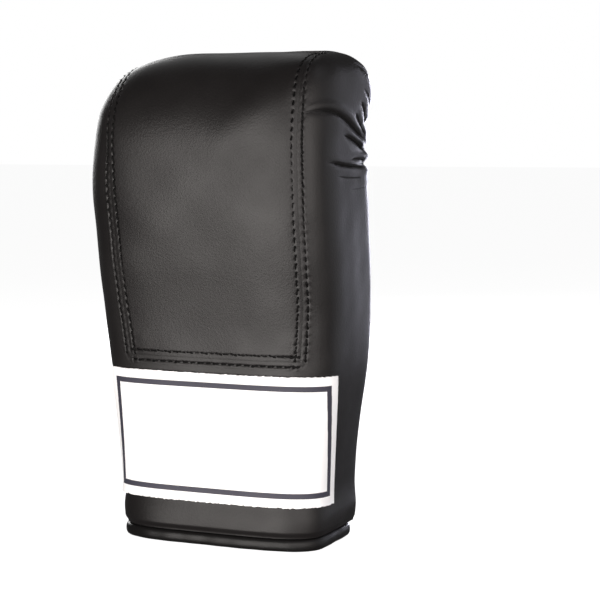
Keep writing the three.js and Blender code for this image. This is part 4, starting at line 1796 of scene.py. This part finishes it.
@dataclass
class Badge:
    """White badge round the back of the cuff, with a dark line woven in along its edge."""

    white: bpy.types.Material
    line: bpy.types.Material
    foot: float = 24.5
    height: float = 71.5
    thickness: float = 1.2
    right_share: float = 0.91
    left_share: float = 0.76
    line_inset: float = 4.9
    line_width: float = 3.0
    fraying: float = 0.16
    columns: int = 150
    rows: int = 70

    def steps(self, size: float, count: int) -> np.ndarray:
        """Places across the badge, with one on each border of the woven line.

        Args:
            size: the badge's size that way.
            count: about how many steps.

        Returns:
            The places.
        """
        inner = self.line_inset + self.line_width
        marks = [0, self.line_inset, inner, size - inner, size - self.line_inset, size]
        parts = [np.linspace(a, b, max(3, round(count * (b - a) / size)))[:-1]
                 for a, b in zip(marks[:-1], marks[1:])]
        return np.concatenate([*parts, [size]])

    def build(self) -> bpy.types.Object:
        """Makes the badge.

        Returns:
            The badge.
        """
        to_widest = float(run_of(FORM.cuff_line(self.foot))[-1])
        width = (self.right_share + self.left_share) * to_widest
        across = self.steps(width, self.columns)
        up = self.steps(self.height, self.rows)
        clear = 2 * FORM.sewn_gap
        fray = np.random.default_rng(3)
        ragged = fray.normal(0, self.fraying, (2, len(across)))
        faces = []
        for off in (clear + self.thickness, clear):
            along = across - self.left_share * to_widest
            rows = [FORM.off_cuff(self.foot + v, along, off) for v in up]
            face = np.stack(rows)
            face[0, :, 2] += ragged[0]
            face[-1, :, 2] += ragged[1]
            faces.append(face)
        outer, inner = faces
        middle = (across[1:] + across[:-1]) / 2
        level = (up[1:] + up[:-1]) / 2
        to_edge = np.minimum(np.minimum(middle, width - middle)[None, :],
                             np.minimum(level, self.height - level)[:, None])
        on_line = (to_edge > self.line_inset) & (to_edge < self.line_inset + self.line_width)
        badge = Patchwork()
        badge.add_grid(outer)
        badge.marks = on_line.ravel().astype(int).tolist()
        badge.add_grid(inner)
        for edge in (np.s_[:, -1], np.s_[-1], np.s_[:, 0], np.s_[0]):
            badge.add_grid(np.stack([outer[edge], inner[edge]], axis=1))
        obj = badge.build("white_badge")
        smooth(obj)
        finish_piece(obj, [self.white, self.line], ["badge"])
        return obj


@dataclass
class CuffHem:
    """Rolled leather hem round the foot of the cuff."""

    leather: bpy.types.Material
    height: float = 7.0
    thickness: float = 6.0
    inset: float = 0.1
    corner: float = 4.0
    palm_corner: float = 7.0
    steps: int = 150
    around: int = 22

    def path(self) -> np.ndarray:
        """Middle of the hem, from the slit round the right side and the back to the slit again.

        Returns:
            The points of the line.
        """
        form = FORM
        half, front, _ = (float(v) for v in form.section(form.cover_foot))
        across = half - self.inset
        start = math.acos(((form.slit_width / 2 + form.sewn_gap) / across) ** (self.palm_corner / 2))
        angle = np.linspace(start, -math.pi / 2, 4 * self.steps)
        on_palm = np.sin(angle) > 0
        corner = np.where(on_palm, self.palm_corner, self.corner)
        x = across * np.abs(np.cos(angle)) ** (2 / corner)
        palm = form.palm_y(x, form.cover_foot) + (self.thickness - form.leather) / 2
        deep = np.where(on_palm, palm, front + self.inset) - form.widest_y
        y = form.widest_y + deep * np.abs(np.sin(angle)) ** (2 / corner)
        z = self.height / 2 + np.where(on_palm, form.foot_height(x) - self.height, 0.0)
        outer = evenly(np.column_stack([x, y, z]), 3 * self.steps)
        right = outer.copy()
        right[:, :2] += right_of(outer) * self.thickness / 2
        right[-1, 0] = 0.0
        return evenly(both_sides(right), 2 * self.steps)

    def build(self) -> bpy.types.Object:
        """Makes the hem.

        Returns:
            The hem.
        """
        line = self.path()
        out = np.column_stack([-right_of(line), np.zeros(len(line))])
        angle = np.linspace(0, 2 * math.pi, self.around, endpoint=False)
        r = square_round(self.thickness / 2, self.height / 2, 2.6, angle)
        run = run_of(line)
        wobble = 0.2 * np.sin(run / 7.3) + 0.12 * np.sin(run / 2.3 + 1)
        rings = []
        for place, away, shake in zip(line, out, wobble):
            wide = r * np.cos(angle) + shake
            up = r * np.sin(angle)
            rings.append(place + away * wide[:, None] + np.array([0, 0, 1.0]) * up[:, None])
        hem = Patchwork()
        hem.add_tube(np.stack(rings))
        obj = hem.build("rolled_hem")
        smooth(obj, 60)
        finish_piece(obj, [self.leather], ["cuff_hem"])
        return obj


@dataclass
class Stitches:
    """Sewn rows: one thread stitch, modelled once and copied along each row."""

    thread: bpy.types.Material
    pitch: float = 4.6
    length: float = 4.5
    width: float = 0.9
    points: list[np.ndarray] = field(default_factory=list)
    faces: list[np.ndarray] = field(default_factory=list)
    count: int = 0

    def __post_init__(self) -> None:
        """Models the one stitch, along X with Z outwards."""
        bpy.ops.object.select_all(action="DESELECT")
        bpy.ops.mesh.primitive_uv_sphere_add(segments=8, ring_count=6, radius=0.5)
        ball = bpy.context.object
        places = np.array([v.co[:] for v in ball.data.vertices])
        along = places[:, 2]
        full = np.sqrt(np.maximum(0.04, 1 - (2 * along) ** 2))
        wider = np.where(np.abs(along) > 0.2, 1.9, 0.9) * np.maximum(full, 0.45) / full
        self.one = np.column_stack([along, places[:, 0] * wider, places[:, 1] * 0.75])
        self.one[:, 2] -= 0.30 * (2 * along) ** 2
        self.one_faces = [np.array(p.vertices[:]) for p in ball.data.polygons]
        bpy.data.objects.remove(ball)

    def sew(self, line: np.ndarray, normals: np.ndarray, pitch: float | None = None,
            size: float = 1.0) -> None:
        """Sews one row.

        Args:
            line: the row's line on the surface.
            normals: the surface's outward normals along it.
            pitch: distance from stitch to stitch.
            size: size of the stitches, 1 for the thick ones on the back.
        """
        pitch = pitch or self.pitch
        run = run_of(line)
        count = max(1, round(run[-1] / pitch))
        middles = (np.arange(count) + 0.5) * run[-1] / count
        places = at_runs(line, middles)
        ahead = at_runs(line, middles + 0.5) - at_runs(line, middles - 0.5)
        ups = np.column_stack([np.interp(middles, run, column) for column in normals.T])
        draw = np.random.default_rng(len(self.points) + 5)
        scale = np.array([self.length * pitch / self.pitch, self.width * size, self.width * size])
        for place, along, up in zip(places, ahead, ups):
            along = along / np.linalg.norm(along)
            up = up - along * (up @ along)
            up /= np.linalg.norm(up)
            beside = np.cross(up, along)
            slant = draw.normal(0.16, 0.07)
            along = along * math.cos(slant) + beside * math.sin(slant)
            beside = np.cross(up, along)
            shape = self.one * scale
            solid = place + shape @ np.stack([along, beside, up]) + up * 0.12
            self.points.append(solid)
            self.faces.extend(f + self.count for f in self.one_faces)
            self.count += len(solid)

    def build(self, name: str, slot: Slot) -> bpy.types.Object:
        """Joins the sewn rows into one object.

        Args:
            name: the object's name.
            slot: not used.

        Returns:
            The stitches.
        """
        rows = Patchwork()
        rows.add_points(np.concatenate(self.points))
        rows.faces = [tuple(f.tolist()) for f in self.faces]
        rows.marks = [0] * len(rows.faces)
        obj = rows.build(name, merge=1e-5)
        smooth(obj, 80)
        finish_piece(obj, [self.thread], [])
        return obj


@dataclass
class Sewing:
    """All rows of stitches on the glove."""

    thread: bpy.types.Material
    cover: PaddedCover
    palm: PalmSide
    hem_row: float = 2.4
    hem_row_depth: float = 1.35
    bar_rows: tuple[float, ...] = (13.2, 17.0, -13.2, -17.0)
    tape_rows: tuple[float, ...] = (1.3, 3.4)
    tape_lift: float = 1.35
    seam_row: float = 2.6
    slit_row: float = 4.2
    row_lift: float = 0.1
    long_pitch: float = 3.6
    fine_pitch: float = 3.2

    def build_back(self) -> bpy.types.Object:
        """Sews the double row round the back panel and the row above the hem.

        Returns:
            The stitches.
        """
        stitches = Stitches(self.thread)
        for line, normals in self.cover.rows:
            stitches.sew(line, normals)
        z = FORM.cover_foot + self.hem_row
        reach = float(run_of(FORM.cuff_line(z))[-1]) * 0.99
        along = np.linspace(-reach, reach, 300)
        foot = FORM.off_cuff(z, along, 0.0)
        normals = FORM.off_cuff(z, along, 1.0) - foot
        stitches.sew(foot - self.hem_row_depth * normals, normals, pitch=4.0, size=0.8)
        return stitches.build("back_stitches", Slot.LEATHER)

    def palm_line(self, line: np.ndarray, lift: float) -> tuple[np.ndarray, np.ndarray]:
        """A flat line laid on the palm leather, with its normals.

        Args:
            line: places in X and Z.
            lift: how far off the leather.

        Returns:
            The line's points and its normals.
        """
        x, z = line[:, 0], line[:, 1]
        h = 0.3
        slope_x = (FORM.palm_y(x + h, z) - FORM.palm_y(x - h, z)) / (2 * h)
        slope_z = (FORM.palm_y(x, z + h) - FORM.palm_y(x, z - h)) / (2 * h)
        normal = np.column_stack([-slope_x, np.ones(len(x)), -slope_z])
        normal /= np.linalg.norm(normal, axis=1, keepdims=True)
        return np.column_stack([x, FORM.palm_y(x, z) + lift, z]), normal

    def build_palm(self) -> bpy.types.Object:
        """Sews the rows on the palm side.

        Returns:
            The stitches.
        """
        form = FORM
        stitches = Stitches(self.thread)
        half = form.station(1.0, form.fan_height).seam - 3
        across = np.linspace(-half, half, 120)
        for above in self.bar_rows:
            line = np.column_stack([across, np.full(len(across), form.fan_height + above)])
            stitches.sew(*self.palm_line(line, self.row_lift), pitch=self.long_pitch, size=0.75)
        edge = evenly(both_sides(self.palm.opening()), 400)
        for over in self.tape_rows:
            row = edge + right_of(edge) * over
            stitches.sew(*self.palm_line(row, self.tape_lift), pitch=self.fine_pitch, size=0.6)
        heights = np.linspace(14, form.fan_height + 4, 160)
        for side in Side:
            half = form.section(np.minimum(heights, form.fan_height))[0]
            x = side.value * (half - form.seam_inset - self.seam_row)
            seam = np.column_stack([x, heights])
            stitches.sew(*self.palm_line(seam, self.row_lift), pitch=self.long_pitch, size=0.7)
            slit = np.linspace(form.foot_height(0) + 3, form.band_foot - 1.5, 12)
            slit_up = np.linspace(form.band_foot + form.band_width + 1, form.opening_foot + 14, 20)
            for line in (slit, slit_up):
                place = np.column_stack([np.full(len(line), side.value * self.slit_row), line])
                stitches.sew(*self.palm_line(place, self.row_lift), pitch=self.fine_pitch, size=0.6)
        return stitches.build("palm_stitches", Slot.LEATHER)


class Softbox(NamedTuple):
    """Soft light, with its place, the height that it faces and its size in metres."""

    name: str
    place: tuple[float, float, float]
    aim: float
    size: tuple[float, float]
    watts: float
    colour: str


# The first two light the back of the hand, the next two the turn to the right wall and the wall.
# The two at the back draw the rims of the creases and the wall, and light the palm side, and the
# last three keep the crest and the left side from going black.
SOFTBOXES = (
    Softbox("low_front", (-0.24, -1.06, -0.02), 0.15, (0.80, 0.9), 13.0, "#fffaf6"),
    Softbox("front_right", (0.62, -0.95, 0.20), 0.15, (0.9, 1.0), 8.2, "#fff9f6"),
    Softbox("side", (1.08, -0.45, 0.25), 0.15, (0.9, 1.0), 4.2, "#fff8f4"),
    Softbox("right_wall", (0.95, 0.62, 0.25), 0.15, (0.9, 1.0), 2.2, "#f8f8ff"),
    Softbox("back_right", (0.42, 1.15, 0.28), 0.17, (0.2, 0.8), 1.0, "#eeeeff"),
    Softbox("back", (-0.17, 1.14, 0.17), 0.15, (0.5, 0.35), 9.0, "#eeeeff"),
    Softbox("high_right", (0.9, 0.1, 1.30), 0.2, (0.7, 0.7), 1.2, "#f8f8ff"),
    Softbox("high_back", (-0.65, 0.80, 1.15), 0.15, (0.9, 0.9), 1.3, "#ffffff"),
    Softbox("left_back", (-0.92, 0.77, 0.50), 0.15, (0.6, 0.6), 7.0, "#ffffff"),
)


@dataclass(frozen=True)
class Studio:
    """Pale floor, soft light and the camera at the photograph's angle."""

    turn: float = 25.6
    distance: float = 981.0
    eye_height: float = 220.0
    pitch: float = 0.089
    yaw: float = math.radians(2.025)
    lens: float = 105.2
    dim_world: float = 0.08
    floor_glow: float = 0.92

    def floor(self) -> None:
        """Lays the floor: white glass that only the eye sees, so that low lights pass it."""
        bpy.ops.object.select_all(action="DESELECT")
        bpy.ops.mesh.primitive_plane_add(size=30, location=(0, 0, -0.0002))
        plane = bpy.context.object
        plane.name = "floor"
        plane.visible_diffuse = plane.visible_glossy = plane.visible_shadow = False
        material = bpy.data.materials.new("pale_floor")
        material.use_nodes = True
        shader = material.node_tree.nodes["Principled BSDF"]
        shader.inputs["Base Color"].default_value = linear("#bcbcbc")
        shader.inputs["Roughness"].default_value = 1.0
        shader.inputs["Specular IOR Level"].default_value = 0.0
        shader.inputs["Emission Color"].default_value = linear("#ffffff")
        shader.inputs["Emission Strength"].default_value = self.floor_glow
        plane.data.materials.append(material)

    def softbox(self, box: Softbox) -> None:
        """Hangs one soft light.

        Args:
            box: the light.
        """
        light = bpy.data.lights.new(box.name, "AREA")
        light.shape = "RECTANGLE"
        light.size, light.size_y = box.size
        light.energy = box.watts
        light.color = linear(box.colour)[:3]
        obj = bpy.data.objects.new(box.name, light)
        bpy.context.scene.collection.objects.link(obj)
        obj.location = box.place
        facing = Vector((0, 0, box.aim)) - Vector(box.place)
        obj.rotation_euler = facing.to_track_quat("-Z", "Y").to_euler()
        obj.visible_camera = False

    def lights(self) -> None:
        """Sets the lights: a white backdrop, dim for everything but the eye, and softboxes."""
        world = bpy.data.worlds.new("studio")
        bpy.context.scene.world = world
        world.use_nodes = True
        tree = world.node_tree
        tree.nodes.clear()
        path = add_node(tree, "ShaderNodeLightPath")
        level = add_node(tree, "ShaderNodeMapRange", {
            "Value": path.outputs["Is Camera Ray"], "To Min": self.dim_world, "To Max": 1.0})
        glow = add_node(tree, "ShaderNodeBackground", {
            "Color": linear("#ffffff"), "Strength": level.outputs["Result"]})
        add_node(tree, "ShaderNodeOutputWorld", {"Surface": glow.outputs[0]})
        for box in SOFTBOXES:
            self.softbox(box)

    def camera(self) -> None:
        """Places the camera."""
        turn = math.radians(self.turn)
        eye = Vector((self.distance * math.sin(turn),
                      FORM.shift_y - self.distance * math.cos(turn), self.eye_height)) * METRES
        ahead = Vector((-math.sin(turn), math.cos(turn), 0))
        beside = Vector((math.cos(turn), math.sin(turn), 0))
        look = (ahead * math.cos(self.yaw) + beside * math.sin(self.yaw)) * math.cos(self.pitch)
        look.z = -math.sin(self.pitch)
        data = bpy.data.cameras.new("camera")
        data.lens = self.lens
        data.sensor_width = 36
        obj = bpy.data.objects.new("camera", data)
        bpy.context.scene.collection.objects.link(obj)
        obj.location = eye
        obj.rotation_euler = look.to_track_quat("-Z", "Y").to_euler()
        bpy.context.scene.camera = obj

    def build(self) -> None:
        """Sets up the studio."""
        bpy.context.scene.view_settings.view_transform = "Standard"
        self.camera()
        self.floor()
        self.lights()


def main() -> None:
    """Builds the glove and the studio round it."""
    logging.basicConfig(level=logging.INFO, format="%(name)s: %(message)s")
    Studio().build()
    # Pigmented split leather gives a satin black with a fine pebble and soft cloudy patches, and painted
    # shade along the creases of the roll.
    leather = SplitLeather("black_split_leather", "#121010", 0.40, 0.34).make()
    # The same leather skived thin for tape and hem is blacker and finer, with a tighter shine.
    tape = SplitLeather("black_binding_leather", "#0e0d0d", 0.36, 0.25, worn="#151414", grain=0.7).make()
    # Plain cotton in the hollow gives a matt dark that keeps its depth.
    pocket = WovenCloth("pocket_lining_cloth", "#161616", 0.8).make()
    # Polyester satin lining gives a paler grey with a soft glow at a low angle.
    lining = WovenCloth("satin_lining_cloth", "#2c2b2a", 0.5, sheen=0.2).make()
    # Woven elastic gives matt black ribs that run round the cuff.
    elastic = WovenElastic("black_woven_elastic", "#1c1c1d", 0.85).make()
    # Vinyl-coated cloth gives an even, slightly cold white, and its woven-in line a dull slate.
    white = WovenCloth("white_coated_cloth", "#fcfcfd", 0.55).make()
    dark = WovenCloth("dark_woven_line", "#353440", 0.6).make()
    # Bonded polyester thread gives black stitches with a faint light on their twist.
    thread = SewingThread("black_bonded_thread", "#040404", 0.6, 0.1).make()
    cover = PaddedCover(leather, pocket)
    cover.build()
    palm = PalmSide(leather, tape, lining)
    palm.build_palm()
    palm.build_tape()
    palm.build_piping()
    palm.build_lining()
    GripBar(leather).build()
    WristBand(elastic).build()
    Badge(white, dark).build()
    CuffHem(tape).build()
    sewing = Sewing(thread, cover, palm)
    sewing.build_back()
    sewing.build_palm()


if __name__ == "__main__":
    main()
